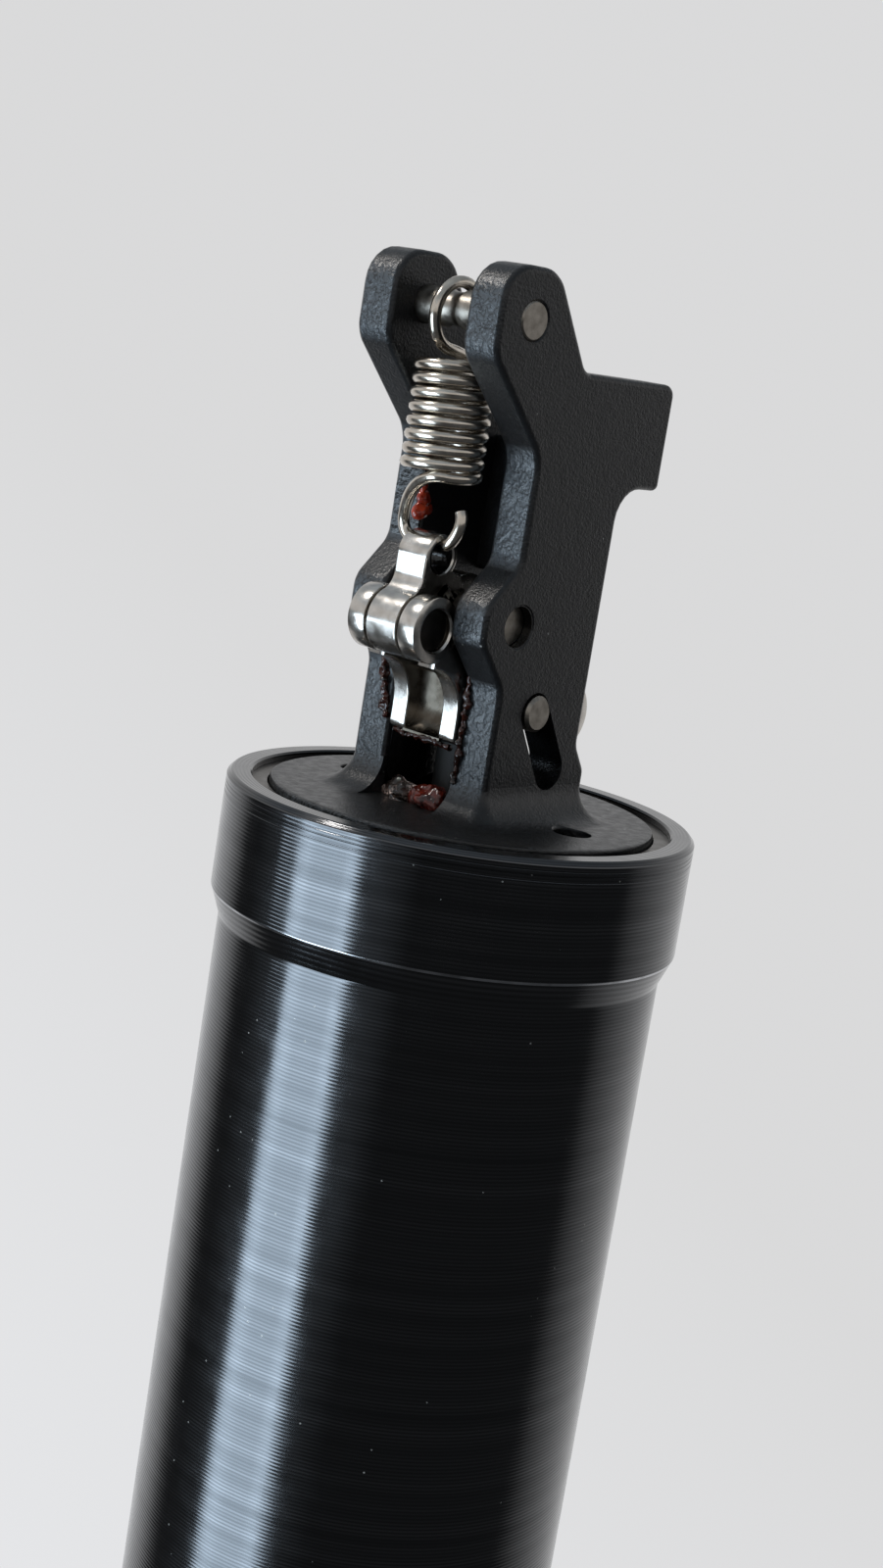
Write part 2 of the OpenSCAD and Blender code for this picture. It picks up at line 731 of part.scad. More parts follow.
// Floating piston between oil and gas, with its seal
module floating_piston() {
    seal_z = float_low + float_l / 2;
    half = seal_section / 2 + run;
    floor_r = cart_in_r - seal_section - run;
    cup_r = cart_in_r - 3;
    color("#8f9196") rotate_extrude() polygon([
        [0, float_low], [cart_in_r - run, float_low], [cart_in_r - run, seal_z - half],
        [floor_r, seal_z - half], [floor_r, seal_z + half],
        [cart_in_r - run, seal_z + half], [cart_in_r - run, float_low + float_l],
        [cup_r, float_low + float_l], [cup_r, float_low + float_l / 2], [0, float_low + float_l / 2]]);
}

module floating_seal() {
    color("#1c1c1c") o_ring(cart_in_r - seal_section, seal_section - run / 2, float_low + float_l / 2);
}

// Seat head: a socket for the stanchion, a neck, and a cross barrel with tapered seats for the clamp
socket_wall = 2.7;
socket_r = stan_r + socket_wall;
seat_taper = 2.5;
seat_r = barrel_d / 2 - seat_taper;
module seat_head() {
    barrel_r = barrel_d / 2;
    neck_y = barrel_l / 2 - eps / 2;
    neck_x = barrel_r + eps / 2;
    bevel = socket_wall * 0.3;
    flare_low = socket_depth * 0.72;
    flare_top = socket_depth + socket_wall * 0.4;
    neck_low = flare_low - bevel;
    up = clamp_z - head_z;
    neck_up = up - barrel_r / 3;
    color("#161719") translate([0, 0, head_z]) difference() {
        union() {
            rotate_extrude($fn = 96) polygon([
                [0, 0], [socket_r - bevel, 0], [socket_r, bevel], [socket_r, flare_low],
                [socket_r - socket_wall * 0.75, flare_top], [0, flare_top]]);
            intersection() {
                plate(-socket_r, socket_r) polygon([
                    [-socket_r, neck_low], [-socket_r, flare_low], [-neck_x, neck_up], [-neck_x, up],
                    [neck_x, up], [neck_x, neck_up], [socket_r, flare_low], [socket_r, neck_low]]);
                rotate([90, 0, 90]) translate([0, 0, -socket_r]) linear_extrude(2 * socket_r) polygon([
                    [-socket_r, neck_low], [-socket_r, flare_low], [-neck_y, flare_top], [-neck_y, up],
                    [neck_y, up], [neck_y, flare_top], [socket_r, flare_low], [socket_r, neck_low]]);
                translate([0, 0, neck_low])
                    cylinder(r1 = socket_r, r2 = norm([neck_x, neck_y]), h = up - neck_low);
            }
            cross([0, up], barrel_r, -barrel_l / 2, barrel_l / 2);
        }
        translate([0, 0, -1]) cylinder(r = stan_r + seat, h = socket_depth + 1);
        cross([0, up], bolt_d / 2 + run, -barrel_l, barrel_l);
        for (side = [-1, 1]) translate([0, side * (barrel_l / 2 + eps), up]) rotate([side * 90, 0, 0])
            cylinder(r1 = seat_r + eps, r2 = seat_r - seat_taper, h = seat_taper + eps);
    }
}

// Outline of a clamp cheek about the clamp bolt: a disc with the rail bed on top
bed_wall = 1;
module cheek_plate(disc_r) {
    half = clamp_l / 2;
    bed_low = rail_rise - rail_d / 2;
    bed_top = rail_rise + rail_d / 2 + bed_wall;
    web = disc_r * 0.9;
    web_low = bed_low - disc_r * 0.4;
    polygon(rounded([[-half, bed_low, 1.5], [-web, web_low, 3], [web, web_low, 3],
                     [half, bed_low, 1.5], [half, bed_top, 1.2], [-half, bed_top, 1.2]]));
    circle(disc_r);
}

// Cuts for both rails and the clamp bolt
module clamp_cuts() {
    for (side = [-1, 1]) translate([-clamp_l, side * rail_y, rail_z]) rotate([0, 90, 0])
        cylinder(d = rail_d, h = 2 * clamp_l);
    cross([0, clamp_z], bolt_d / 2 + seat, -2 * rail_y, 2 * rail_y);
}

bed_gap = 0.4;
outer_wall = 3.5;
outer_y = rail_y + rail_d / 2 + outer_wall;
disc_step = 1.5;

// Inner cheeks of the saddle clamp, seated in the head's tapers
module inner_cheeks() {
    face = barrel_l / 2 + run;
    disc_r = barrel_d / 2 - disc_step;
    color("#1a1b1d") difference() {
        for (side = [0, 1]) mirror([0, side, 0]) {
            translate([0, 0, clamp_z]) plate(face, rail_y - bed_gap) cheek_plate(disc_r);
            translate([0, face, clamp_z]) rotate([90, 0, 0])
                cylinder(r1 = seat_r - run, r2 = seat_r - seat_taper, h = seat_taper - run);
        }
        clamp_cuts();
    }
}

// Outer cheeks, each with a lip that bears on the inner cheek below the bolt
module outer_cheeks() {
    disc_r = barrel_d / 2 - 2 * disc_step;
    lip_half = clamp_l / 6;
    lip_low = disc_step - disc_r;
    lip_high = lip_low + 2;
    color("#1a1b1d") difference() {
        for (side = [0, 1]) mirror([0, side, 0]) translate([0, 0, clamp_z]) {
            plate(rail_y + bed_gap, outer_y) cheek_plate(disc_r);
            plate(rail_y - bed_gap + seat, rail_y + bed_gap + eps)
                polygon([[-lip_half, lip_low], [lip_half, lip_low],
                         [lip_half, lip_high], [-lip_half, lip_high]]);
        }
        clamp_cuts();
    }
}

// Clamp bolt through both pairs of cheeks, with a socket head
module clamp_bolt() {
    head_r = bolt_d * 0.85;
    head_h = bolt_d * 0.7;
    socket_w = bolt_d * 0.85;
    color("#2a2b2e") translate([0, 0, clamp_z]) difference() {
        union() {
            cross([0, 0], bolt_d / 2, -outer_y - eps, outer_y + head_h - 1);
            cross([0, 0], head_r, -outer_y - head_h, -outer_y);
        }
        translate([0, -outer_y - head_h / 2, 0]) rotate([90, 0, 0])
            cylinder(d = socket_w / cos(30), h = head_h, $fn = 6);
    }
}

// Round nut at the other end, with two flats
module clamp_nut() {
    nut_out_r = bolt_d * 0.9;
    thick = bolt_d * 0.7;
    flat_x = nut_out_r * 0.85;
    color("#2a2b2e") translate([0, 0, clamp_z]) difference() {
        cross([0, 0], nut_out_r, outer_y, outer_y + thick);
        cross([0, 0], bolt_d / 2 + seat, outer_y - 1, outer_y + thick + 1);
        for (side = [-1, 1]) translate([side * (flat_x + nut_out_r), outer_y + thick, 0])
            cube([2 * nut_out_r, thick, 4 * nut_out_r], center = true);
    }
}

// Return spring. Its wire runs round a loop on the spring pin, down the coils and through the bellcrank's lug.
loop_r = 2.15;
loop_steps = 10;
coil_axis = [spring_x - 0.25, 0];
coil_high = spring_h - 3.15;
coil_r_top = (coil_top_d - wire_d) / 2;
coil_r_low = (coil_low_d - wire_d) / 2;
rings_per_coil = 8;
leg_side = 2.2;
bend_r = 0.85;

// A smooth join from point p with heading s to point q with heading e, without its two ends
function bend(p, s, q, e, n) =
    [for (i = [1:n - 1]) let (t = i / n, a = t * t * (3 - 2 * t))
        p * (1 - a) + q * a + s * (t * (1 - t) * (1 - t)) - e * (t * t * (1 - t))];

function loop_points() =
    let (c = [spring_x, groove_at, spring_h + groove_r + 0.15 + wire_d / 2 - loop_r])
    [for (i = [0:loop_steps]) let (a = 215 - 295 * i / loop_steps) c + loop_r * [cos(a), 0, sin(a)]];

function coil_points() =
    let (last = (coils + 0.5) * rings_per_coil)
    [for (i = [0:last]) let (t = i / last, a = -180 - 360 * i / rings_per_coil,
        r = coil_r_top + (coil_r_low - coil_r_top) * t)
        [coil_axis[0] + r * cos(a), coil_axis[1] + r * sin(a), coil_high - pitch * i / rings_per_coil]];

function hook_points() =
    let (x = lug[0], z = lug[1], side = lever_t / 2 + 0.1)
    concat([[x + 0.1, -leg_side - 0.25, z + 3.4], [x, -leg_side - 0.15, z + 2]],
        [for (q = arc([-side, z + bend_r], bend_r, 180, 270, 3)) [x, q[0], q[1]]],
        [for (q = arc([side, z + bend_r], bend_r, 270, 360, 3)) [x, q[0], q[1]]],
        [[x, leg_side + 0.05, z + 2.9]]);

function spring_path() =
    let (loop = loop_points(), coil = coil_points(), hook = hook_points(),
         loop_end = loop[len(loop) - 1], coil_end = coil[len(coil) - 1])
    concat(loop, bend(loop_end, [-3.2, 0, -0.3], coil[0], [0, 2.6, -0.2], 4), coil,
        bend(coil_end, [0, -3, -1], hook[0], [0, 0, -2.6], 4), hook);

// Heading of a path at its point i
function heading(path, i) = unit(path[min(i + 1, len(path) - 1)] - path[max(i - 1, 0)]);

// Side directions carried along a path without twist
function sides(path) =
    [for (i = 0, s = unit(cross([0, 1, 0], heading(path, 0))); i < len(path);
          i = i + 1, s = i < len(path) ? let (t = heading(path, i)) unit(s - t * (t * s)) : s) s];

// A tube of six sides along a path
module wire(path, d) {
    n = 6;
    last = len(path) - 1;
    side = sides(path);
    points = [for (i = [0:last]) let (t = heading(path, i), up = cross(t, side[i]))
        for (k = [0:n - 1]) path[i] + d / 2 * (cos(60 * k) * side[i] + sin(60 * k) * up)];
    walls = [for (i = [0:last - 1], k = [0:n - 1]) let (a = i * n + k, b = i * n + (k + 1) % n)
        each [[a, a + n, b], [b, a + n, b + n]]];
    caps = [for (k = [1:n - 2]) each [[0, k, k + 1], [last * n, last * n + k + 1, last * n + k]]];
    polyhedron(points, concat(walls, caps));
}

// Least gap of a wire to itself, measured between points that aren't near neighbours along it
function least_gap(path, d) =
    min([for (i = [0:len(path) - 1], j = [i + 5:1:len(path) - 1]) norm(path[i] - path[j])]) - d;

module return_spring() {
    path = spring_path();
    echo(spring_least_gap = least_gap(path, wire_d));
    color("#c9c2b4") at_foot() wire(path, wire_d);
}

outer_tube();
upper_bushing();
seal_nut();
wiper_seal();
actuator_bracket();
snap_ring();
spring_pin();
pivot_pin();
return_spring();
piston_rod();
piston();
piston_seal();
bottom_bumper();
stanchion();
glide_ring();
guide_keys();
seat_head();
cartridge_tube();
rod_guide();
rod_seal();
topout_bumper();
cartridge_plug();
floating_piston();
floating_seal();
inner_cheeks();
outer_cheeks();
clamp_bolt();
clamp_nut();
bellcrank();
push_link();
link_pin();
slot_pin();
release_plunger();
release_rod();
valve_poppet();
cable_anchor();
anchor_screw();
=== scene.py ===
# %% [markdown]
# A dropper seatpost holds a bicycle saddle and lets the rider lower it while riding. Its outer tube is clamped in
# the frame, the stanchion slides in it on a gas cartridge, and a small linkage at the foot opens the cartridge's
# valve when the cable pulls. This lesson dresses the engineered frame of such a post: every piece that is seen gets
# the soft edges, wire and surface of the real object, in the frame's own place and size.
#
# The imported frame is loaded first.

import math

import bmesh
import bpy
from mathutils import Matrix, Vector, noise


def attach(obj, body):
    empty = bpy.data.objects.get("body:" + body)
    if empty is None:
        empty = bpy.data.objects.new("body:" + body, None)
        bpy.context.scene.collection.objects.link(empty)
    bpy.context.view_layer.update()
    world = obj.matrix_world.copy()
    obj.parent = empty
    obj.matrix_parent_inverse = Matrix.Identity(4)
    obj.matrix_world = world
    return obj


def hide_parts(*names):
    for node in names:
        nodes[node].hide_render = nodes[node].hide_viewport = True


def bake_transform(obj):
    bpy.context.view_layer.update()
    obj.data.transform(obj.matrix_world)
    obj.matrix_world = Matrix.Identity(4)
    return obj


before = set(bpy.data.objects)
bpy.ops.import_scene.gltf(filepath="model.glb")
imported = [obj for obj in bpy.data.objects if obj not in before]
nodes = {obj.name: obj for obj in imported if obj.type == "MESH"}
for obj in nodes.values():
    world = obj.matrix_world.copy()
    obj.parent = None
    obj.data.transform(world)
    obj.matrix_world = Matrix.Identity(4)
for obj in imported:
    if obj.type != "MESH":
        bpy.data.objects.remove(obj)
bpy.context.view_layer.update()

# %% [markdown]
# All finishes are worked out from the place on the piece, so they need no pictures and stay put when a piece moves.
# Real parts differ in two scales: the colour and gloss that the eye reads first, and the fine marks of the tool that
# made them. A handful of helpers keeps both short: a start with the place in millimetres, noise as grain, sums and
# masks of values, a change of range, and a relief that tilts the surface.

# %% Helpers for finishes
MM = 0.001


def new_finish(name, colour, metallic, roughness, ior=1.5):
    """A node material with its tree, its shader and the place on the piece in millimetres."""
    material = bpy.data.materials.new(name)
    material.use_nodes = True
    tree = material.node_tree
    shader = tree.nodes["Principled BSDF"]
    shader.inputs["Base Color"].default_value = (*colour, 1)
    shader.inputs["Metallic"].default_value = metallic
    shader.inputs["Roughness"].default_value = roughness
    shader.inputs["IOR"].default_value = ior
    coordinate = tree.nodes.new("ShaderNodeTexCoord")
    grow = tree.nodes.new("ShaderNodeVectorMath")
    grow.operation = "SCALE"
    grow.inputs["Scale"].default_value = 1 / MM
    tree.links.new(coordinate.outputs["Object"], grow.inputs[0])
    return material, tree, shader, grow.outputs[0]


def scaled(tree, where, factors):
    """A place with each of its coordinates multiplied by a factor."""
    node = tree.nodes.new("ShaderNodeVectorMath")
    node.operation = "MULTIPLY"
    node.inputs[1].default_value = factors
    tree.links.new(where, node.inputs[0])
    return node.outputs[0]


def length(tree, where):
    """How far a place is from the origin."""
    node = tree.nodes.new("ShaderNodeVectorMath")
    node.operation = "LENGTH"
    tree.links.new(where, node.inputs[0])
    return node.outputs["Value"]


def towards(tree, direction, way):
    """How far a direction turns towards a way: 1 along it, 0 across it."""
    node = tree.nodes.new("ShaderNodeVectorMath")
    node.operation = "DOT_PRODUCT"
    node.inputs[1].default_value = way
    tree.links.new(direction, node.inputs[0])
    return node.outputs["Value"]


def along(tree, where, axis):
    """One coordinate of a place."""
    node = tree.nodes.new("ShaderNodeSeparateXYZ")
    tree.links.new(where, node.inputs[0])
    return node.outputs[axis]


def reckon(tree, operation, a, b):
    """The sum, the product, the smaller or the larger of two values."""
    node = tree.nodes.new("ShaderNodeMath")
    node.operation = operation
    tree.links.new(a, node.inputs[0])
    tree.links.new(b, node.inputs[1])
    return node.outputs[0]


def close_to(tree, value, middle, half):
    """A mask of where a value lies within half of a middle."""
    node = tree.nodes.new("ShaderNodeMath")
    node.operation = "COMPARE"
    node.inputs[1].default_value, node.inputs[2].default_value = middle, half
    tree.links.new(value, node.inputs[0])
    return node.outputs[0]


def grain(tree, where, per_mm, detail=2.0):
    """Noise with per_mm grains to the millimetre."""
    node = tree.nodes.new("ShaderNodeTexNoise")
    node.inputs["Scale"].default_value = per_mm
    node.inputs["Detail"].default_value = detail
    tree.links.new(where, node.inputs["Vector"])
    return node.outputs["Fac"]


def spread(tree, value, low, high, to_low, to_high):
    """The range low to high of a value, laid onto another range and held at its ends."""
    node = tree.nodes.new("ShaderNodeMapRange")
    for socket, number in zip(("From Min", "From Max", "To Min", "To Max"), (low, high, to_low, to_high)):
        node.inputs[socket].default_value = number
    tree.links.new(value, node.inputs["Value"])
    return node.outputs["Result"]


def tint(tree, target, value, dark, light):
    """Runs a colour socket from dark to light with a value between 0 and 1, and returns the mix."""
    node = tree.nodes.new("ShaderNodeMix")
    node.data_type = "RGBA"
    node.inputs[6].default_value = (*dark, 1)
    node.inputs[7].default_value = (*light, 1)
    tree.links.new(value, node.inputs[0])
    tree.links.new(node.outputs[2], target)
    return node


def relief(tree, shader, height, depth, strength=1.0, over=None):
    """Tilts the surface as a height of so many millimetres would, over another relief if one is given."""
    node = tree.nodes.new("ShaderNodeBump")
    node.inputs["Strength"].default_value = strength
    node.inputs["Distance"].default_value = depth * MM
    tree.links.new(height, node.inputs["Height"])
    if over is not None:
        tree.links.new(over, node.inputs["Normal"])
    tree.links.new(node.outputs["Normal"], shader.inputs["Normal"])
    return node.outputs["Normal"]


finishes = {}
print("helpers for finishes ready")

# %% [markdown]
# The tube is turned on a lathe, polished and anodised black. What shows is a dark mirror: a clear band where the
# window lies, crossed by fine lines that the cutting tool left all the way round, about four to the millimetre. So
# the lines are a wave along one coordinate that counts up the post and out from its axis, with an uneven wash over
# it. A few specks of dust sit on top, as on any black part that was just handled, and a bright ring of bare-metal
# colour round the crisp edge of the foot's collar is a painted highlight.

# %% Gloss black finish
def around(tree, where):
    """A coordinate along the post plus the distance from its axis, so that marks on it run round the post."""
    out = length(tree, scaled(tree, where, (1, 1, 0)))
    line = tree.nodes.new("ShaderNodeCombineXYZ")
    tree.links.new(reckon(tree, "ADD", along(tree, where, "Z"), out), line.inputs["X"])
    return line.outputs[0]


def specks(tree, where, per_mm, size, share):
    """A mask of sparse round specks: a share of the cells of a scatter, each with a dot of that size."""
    node = tree.nodes.new("ShaderNodeTexVoronoi")
    node.inputs["Scale"].default_value = per_mm
    tree.links.new(where, node.inputs["Vector"])
    dots = spread(tree, node.outputs["Distance"], size * 0.6, size, 1, 0)
    split = tree.nodes.new("ShaderNodeSeparateColor")
    tree.links.new(node.outputs["Color"], split.inputs[0])
    chosen = spread(tree, split.outputs[0], 1 - share, 1 - share + 0.01, 0, 1)
    return reckon(tree, "MULTIPLY", dots, chosen)


def edge_highlight_ring(tree, where, height, half):
    """A mask for a narrow ring of painted highlight round the post at one height, broken up a little."""
    patches = spread(tree, grain(tree, where, 0.5, 3.0), 0.3, 0.55, 0.35, 1)
    return reckon(tree, "MULTIPLY", close_to(tree, along(tree, where, "Z"), height, half), patches)


def gloss_black(name, line_depth, pitch, highlight_at):
    """Dark polished metal with turning lines, dust and a painted highlight round one edge at a height."""
    material, tree, shader, where = new_finish(name, (0.06, 0.062, 0.066), 1.0, 0.14)
    rounds = around(tree, where)
    threads = tree.nodes.new("ShaderNodeTexWave")
    threads.inputs["Scale"].default_value = math.pi / 10 / pitch
    threads.inputs["Distortion"].default_value = 0.6
    threads.inputs["Detail Scale"].default_value = 0.3
    tree.links.new(rounds, threads.inputs["Vector"])
    wash = grain(tree, rounds, 0.9, 3.0)
    dust = specks(tree, where, 0.8, 0.065, 0.32)
    over = tint(tree, shader.inputs["Base Color"], dust, (0, 0, 0), (0.26, 0.25, 0.23))
    # Painted highlight: a bright ring of bare-metal colour round the crisp edge of the collar.
    edge_highlight = tint(tree, over.inputs[6], edge_highlight_ring(tree, where, highlight_at, 0.09), (0, 0, 0), (0.42, 0.43, 0.45))
    under = tint(tree, edge_highlight.inputs[6], threads.outputs["Fac"], (0.052, 0.053, 0.055), (0.080, 0.082, 0.086))
    tint(tree, under.inputs[7], spread(tree, wash, 0.35, 0.65, 0, 1), (0.056, 0.058, 0.061), (0.102, 0.104, 0.109))
    tree.links.new(spread(tree, dust, 0, 1, 1, 0), shader.inputs["Metallic"])
    tree.links.new(spread(tree, grain(tree, where, 0.4, 3.0), 0.3, 0.7, 0.10, 0.18), shader.inputs["Roughness"])
    relief(tree, shader, threads.outputs["Fac"], line_depth)
    return material


INSERTION = 172.0
LINE_DEPTH, LINE_PITCH, COLLAR_EDGE = 0.007, 0.25, 7.89
# The last number is the height of the painted highlight round the collar's edge.
finishes["anodised_gloss"] = gloss_black("turned black anodising", LINE_DEPTH, LINE_PITCH, COLLAR_EDGE - INSERTION)
print("gloss black for the tube, the stanchion and the nut")

# %% [markdown]
# The bracket is milled and blasted with fine beads before it is anodised, so it is matt, with a grain of about a
# fifth of a millimetre that sparkles where a face catches the window. The grain is a soft relief of two sizes, and
# the roughness varies with the larger one. Faces that look ahead were milled across and show a crackle of creases;
# their colour is painted greyer and bluish as a painted sheen of the window's light, which the dark creases break up.
# Here and there a pale speck of dust clings to it.

# %% Matt black finish
def matt_black(name, depth, crackle):
    """Dull black with a bead-blasted grain, and milled faces in front that are creased and painted with a greyer,
    bluish sheen.
    """
    material, tree, shader, where = new_finish(name, (0.012, 0.012, 0.0125), 0.0, 0.34, 1.45)
    fine = grain(tree, where, 5.5, 2.0)
    coarse = grain(tree, where, 1.6, 3.0)
    dust = specks(tree, where, 0.8, 0.075, 0.35)
    over = tint(tree, shader.inputs["Base Color"], dust, (0, 0, 0), (0.30, 0.29, 0.27))
    tree.links.new(spread(tree, coarse, 0.3, 0.7, 0.28, 0.42), shader.inputs["Roughness"])
    normal = next(n for n in tree.nodes if n.type == "TEX_COORD").outputs["Normal"]
    ahead = spread(tree, towards(tree, normal, (1, 0, 0)), 0.8, 0.97, 0, 1)
    milled_and_painted_sheen = reckon(tree, "MULTIPLY", ahead, spread(tree, along(tree, where, "X"), 4.85, 5.0, 0, 1))
    swirl = grain(tree, where, 2.4, 1.5)
    # Painted sheen: faces that look ahead are painted greyer and bluish, as if lit by the window, and stay dark in
    # the creases.
    under = tint(tree, over.inputs[6], milled_and_painted_sheen, (0.010, 0.010, 0.0105), (0, 0, 0))
    tint(tree, under.inputs[7], close_to(tree, swirl, 0.5, 0.028), (0.052, 0.057, 0.062), (0.012, 0.013, 0.014))
    rough = relief(tree, shader, coarse, depth, 0.3)
    rough = relief(tree, shader, reckon(tree, "MULTIPLY", swirl, milled_and_painted_sheen), crackle, 1.0, rough)
    relief(tree, shader, fine, depth, 0.8, rough)
    return material


GRAIN_DEPTH, CREASE_DEPTH = 0.045, 0.10
finishes["anodised_matt"] = matt_black("blasted black anodising", GRAIN_DEPTH, CREASE_DEPTH)
print("matt black for the bracket, the head and the saddle clamp")

# %% [markdown]
# The linkage is stainless steel, blanked and tumbled until its edges are soft and its faces satin, with a warm tone
# from the oil on it. Pins are ground, so their ends show fine rings and a brownish grey. The spring is drawn wire,
# smooth along its length. The hidden rod is chromed, and bolts are blackened. One recipe covers them all: a metal
# with its own tone, a little cloudiness in the gloss and a shallow grain.

# %% Steel finishes
def steel(name, dark, light, rough_low, rough_high, per_mm=3.0, depth=0.003):
    """A metal between two tones and two roughnesses, with a shallow grain."""
    material, tree, shader, where = new_finish(name, light, 1.0, rough_low)
    cloud = grain(tree, where, per_mm * 0.35, 3.0)
    marks = grain(tree, where, per_mm)
    tint(tree, shader.inputs["Base Color"], spread(tree, cloud, 0.3, 0.7, 0, 1), dark, light)
    tree.links.new(spread(tree, cloud, 0.3, 0.7, rough_low, rough_high), shader.inputs["Roughness"])
    relief(tree, shader, marks, depth, 0.5)
    return material


finishes["stainless"] = steel("satin stainless", (0.46, 0.43, 0.39), (0.64, 0.61, 0.57), 0.16, 0.28, 3.0, 0.007)
finishes["ground_steel"] = steel("ground pin steel", (0.20, 0.18, 0.155), (0.36, 0.33, 0.29), 0.30, 0.45, 5.0, 0.006)
finishes["spring_wire"] = steel("drawn spring wire", (0.46, 0.41, 0.35), (0.62, 0.57, 0.50), 0.16, 0.26)
# Painted shade: this steel is darkened so that the cable anchor and the link's web, which sit between the cheeks,
# read dark.
finishes["oily_steel_painted_shade"] = steel("oily steel darkened as painted shade", (0.055, 0.045, 0.034), (0.13, 0.115, 0.095), 0.22, 0.34)
finishes["dark_steel"] = steel("blackened steel", (0.060, 0.053, 0.045), (0.105, 0.094, 0.082), 0.28, 0.40)
finishes["rod_chrome"] = steel("hard chrome", (0.60, 0.61, 0.62), (0.72, 0.73, 0.74), 0.06, 0.10)
finishes["plain_alloy"] = steel("plain turned alloy", (0.48, 0.49, 0.50), (0.62, 0.63, 0.64), 0.28, 0.38, 4.0, 0.005)
finishes["key_brass"] = steel("brass", (0.58, 0.40, 0.17), (0.72, 0.53, 0.26), 0.24, 0.36)
print("steels, chrome, alloy and brass")

# %% [markdown]
# What is left is plastic and rubber. The bushing and the glide ring are a brown bearing plastic, the plunger is black
# plastic, the seals are black rubber and the bumpers a red one. They need little: a body colour, a soft gloss and a
# faint mottle, because most of them are inside the tube.

# %% Plastic and rubber finishes
def moulded(name, dark, light, roughness):
    """A dull body between two tones, with a faint mottle."""
    material, tree, shader, where = new_finish(name, light, 0.0, roughness)
    mottle = grain(tree, where, 1.5, 3.0)
    tint(tree, shader.inputs["Base Color"], spread(tree, mottle, 0.3, 0.7, 0, 1), dark, light)
    relief(tree, shader, mottle, 0.01, 0.4)
    return material


finishes["bearing_plastic"] = moulded("bearing plastic", (0.11, 0.075, 0.035), (0.16, 0.11, 0.055), 0.45)
finishes["black_plastic"] = moulded("black plastic", (0.006, 0.006, 0.006), (0.012, 0.012, 0.011), 0.62)
finishes["seal_rubber"] = moulded("seal rubber", (0.010, 0.010, 0.010), (0.018, 0.018, 0.018), 0.55)
finishes["bumper_rubber"] = moulded("bumper rubber", (0.30, 0.035, 0.02), (0.42, 0.055, 0.03), 0.5)
print(len(finishes), "finishes in all")

# %% [markdown]
# Every node of the frame first takes the finish that belongs to its slot, so that pieces inside the tube are right
# when the post is opened or cut. The pieces that are seen are then rebuilt over their nodes, with softer edges.

# %% Finish for every node
slot_of = {}
for slot, names in {
        "anodised_gloss": "outer_tube stanchion seal_nut",
        "anodised_matt": "actuator_bracket seat_head inner_cheeks outer_cheeks",
        "bearing_plastic": "upper_bushing glide_ring", "black_plastic": "release_plunger",
        "seal_rubber": "wiper_seal piston_seal rod_seal floating_seal",
        "bumper_rubber": "bottom_bumper topout_bumper",
        "dark_steel": "snap_ring link_pin anchor_screw clamp_bolt clamp_nut",
        "ground_steel": "spring_pin pivot_pin slot_pin release_rod", "spring_wire": "return_spring",
        # The cable anchor's oily steel is darkened as painted shade.
        "stainless": "bellcrank push_link", "oily_steel_painted_shade": "cable_anchor", "rod_chrome": "piston_rod",
        "plain_alloy": "piston cartridge_tube rod_guide cartridge_plug floating_piston",
        "key_brass": "guide_keys valve_poppet"}.items():
    for name in names.split():
        slot_of[name] = slot
for name, node in nodes.items():
    node.data.materials.clear()
    node.data.materials.append(finishes[slot_of[name]])
print("finish set on", len(nodes), "nodes")

# %% [markdown]
# The pieces are modelled in millimetres. The post's own pieces stand in the post's frame, and the linkage is modelled
# upright, as it stands in the picture: ahead of the axis, to the side, and height above the foot's end face. One
# matrix then turns it over into its place below the tube. A piece is closed with smooth shading that breaks at real
# edges and with normals weighted by area, so that flat faces stay flat beside soft rims.

# %% Helpers for pieces
at_post = Matrix.Scale(MM, 4)
at_foot = Matrix.Translation((0, 0, -INSERTION * MM)) @ Matrix.Rotation(math.pi, 4, "X") @ at_post


def as_object(name, bm):
    """Turns a bmesh into an object of the scene and frees it."""
    mesh = bpy.data.meshes.new(name)
    bm.to_mesh(mesh)
    bm.free()
    ob = bpy.data.objects.new(name, mesh)
    bpy.context.scene.collection.objects.link(ob)
    return ob


def discard(ob):
    """Removes an object and the mesh or curve in it."""
    data = ob.data
    bpy.data.objects.remove(ob)
    (bpy.data.meshes if isinstance(data, bpy.types.Mesh) else bpy.data.curves).remove(data)


def finished(ob):
    """The final mesh of an object as a bmesh, with the object and its data removed."""
    mesh = bpy.data.meshes.new_from_object(ob.evaluated_get(bpy.context.evaluated_depsgraph_get()))
    bm = bmesh.new()
    bm.from_mesh(mesh)
    bpy.data.meshes.remove(mesh)
    discard(ob)
    return bm


def combine(bm, others, operation):
    """Joins other closed shapes to bm, or cuts them out of it, with exact solids."""
    whole = as_object("whole", bm)
    tools = [as_object("tool", other) for other in others]
    for tool in tools:
        step = whole.modifiers.new("step", "BOOLEAN")
        step.operation, step.solver, step.object = operation, "EXACT", tool
    out = finished(whole)
    for tool in tools:
        discard(tool)
    return out


def moved(bm, vec):
    """Shifts a whole shape."""
    bmesh.ops.translate(bm, vec=vec, verts=bm.verts)
    return bm


def piece(name, bm, place, body, finish, stands_for, angle=32):
    """Places a finished shape, closes it with its finish and shading, and hangs it on its body."""
    bmesh.ops.transform(bm, matrix=place, verts=bm.verts)
    bmesh.ops.remove_doubles(bm, verts=bm.verts, dist=1e-7)
    bmesh.ops.recalc_face_normals(bm, faces=bm.faces)
    ob = as_object(name, bm)
    ob.data.shade_smooth()
    ob.data.set_sharp_from_angle(angle=math.radians(angle))
    ob.data.materials.append(finishes[finish])
    weigh = ob.modifiers.new("weigh", "WEIGHTED_NORMAL")
    weigh.keep_sharp = True
    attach(ob, body)
    if stands_for:
        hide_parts(*stands_for)
    print(name, "with", len(ob.data.polygons), "faces")
    return ob


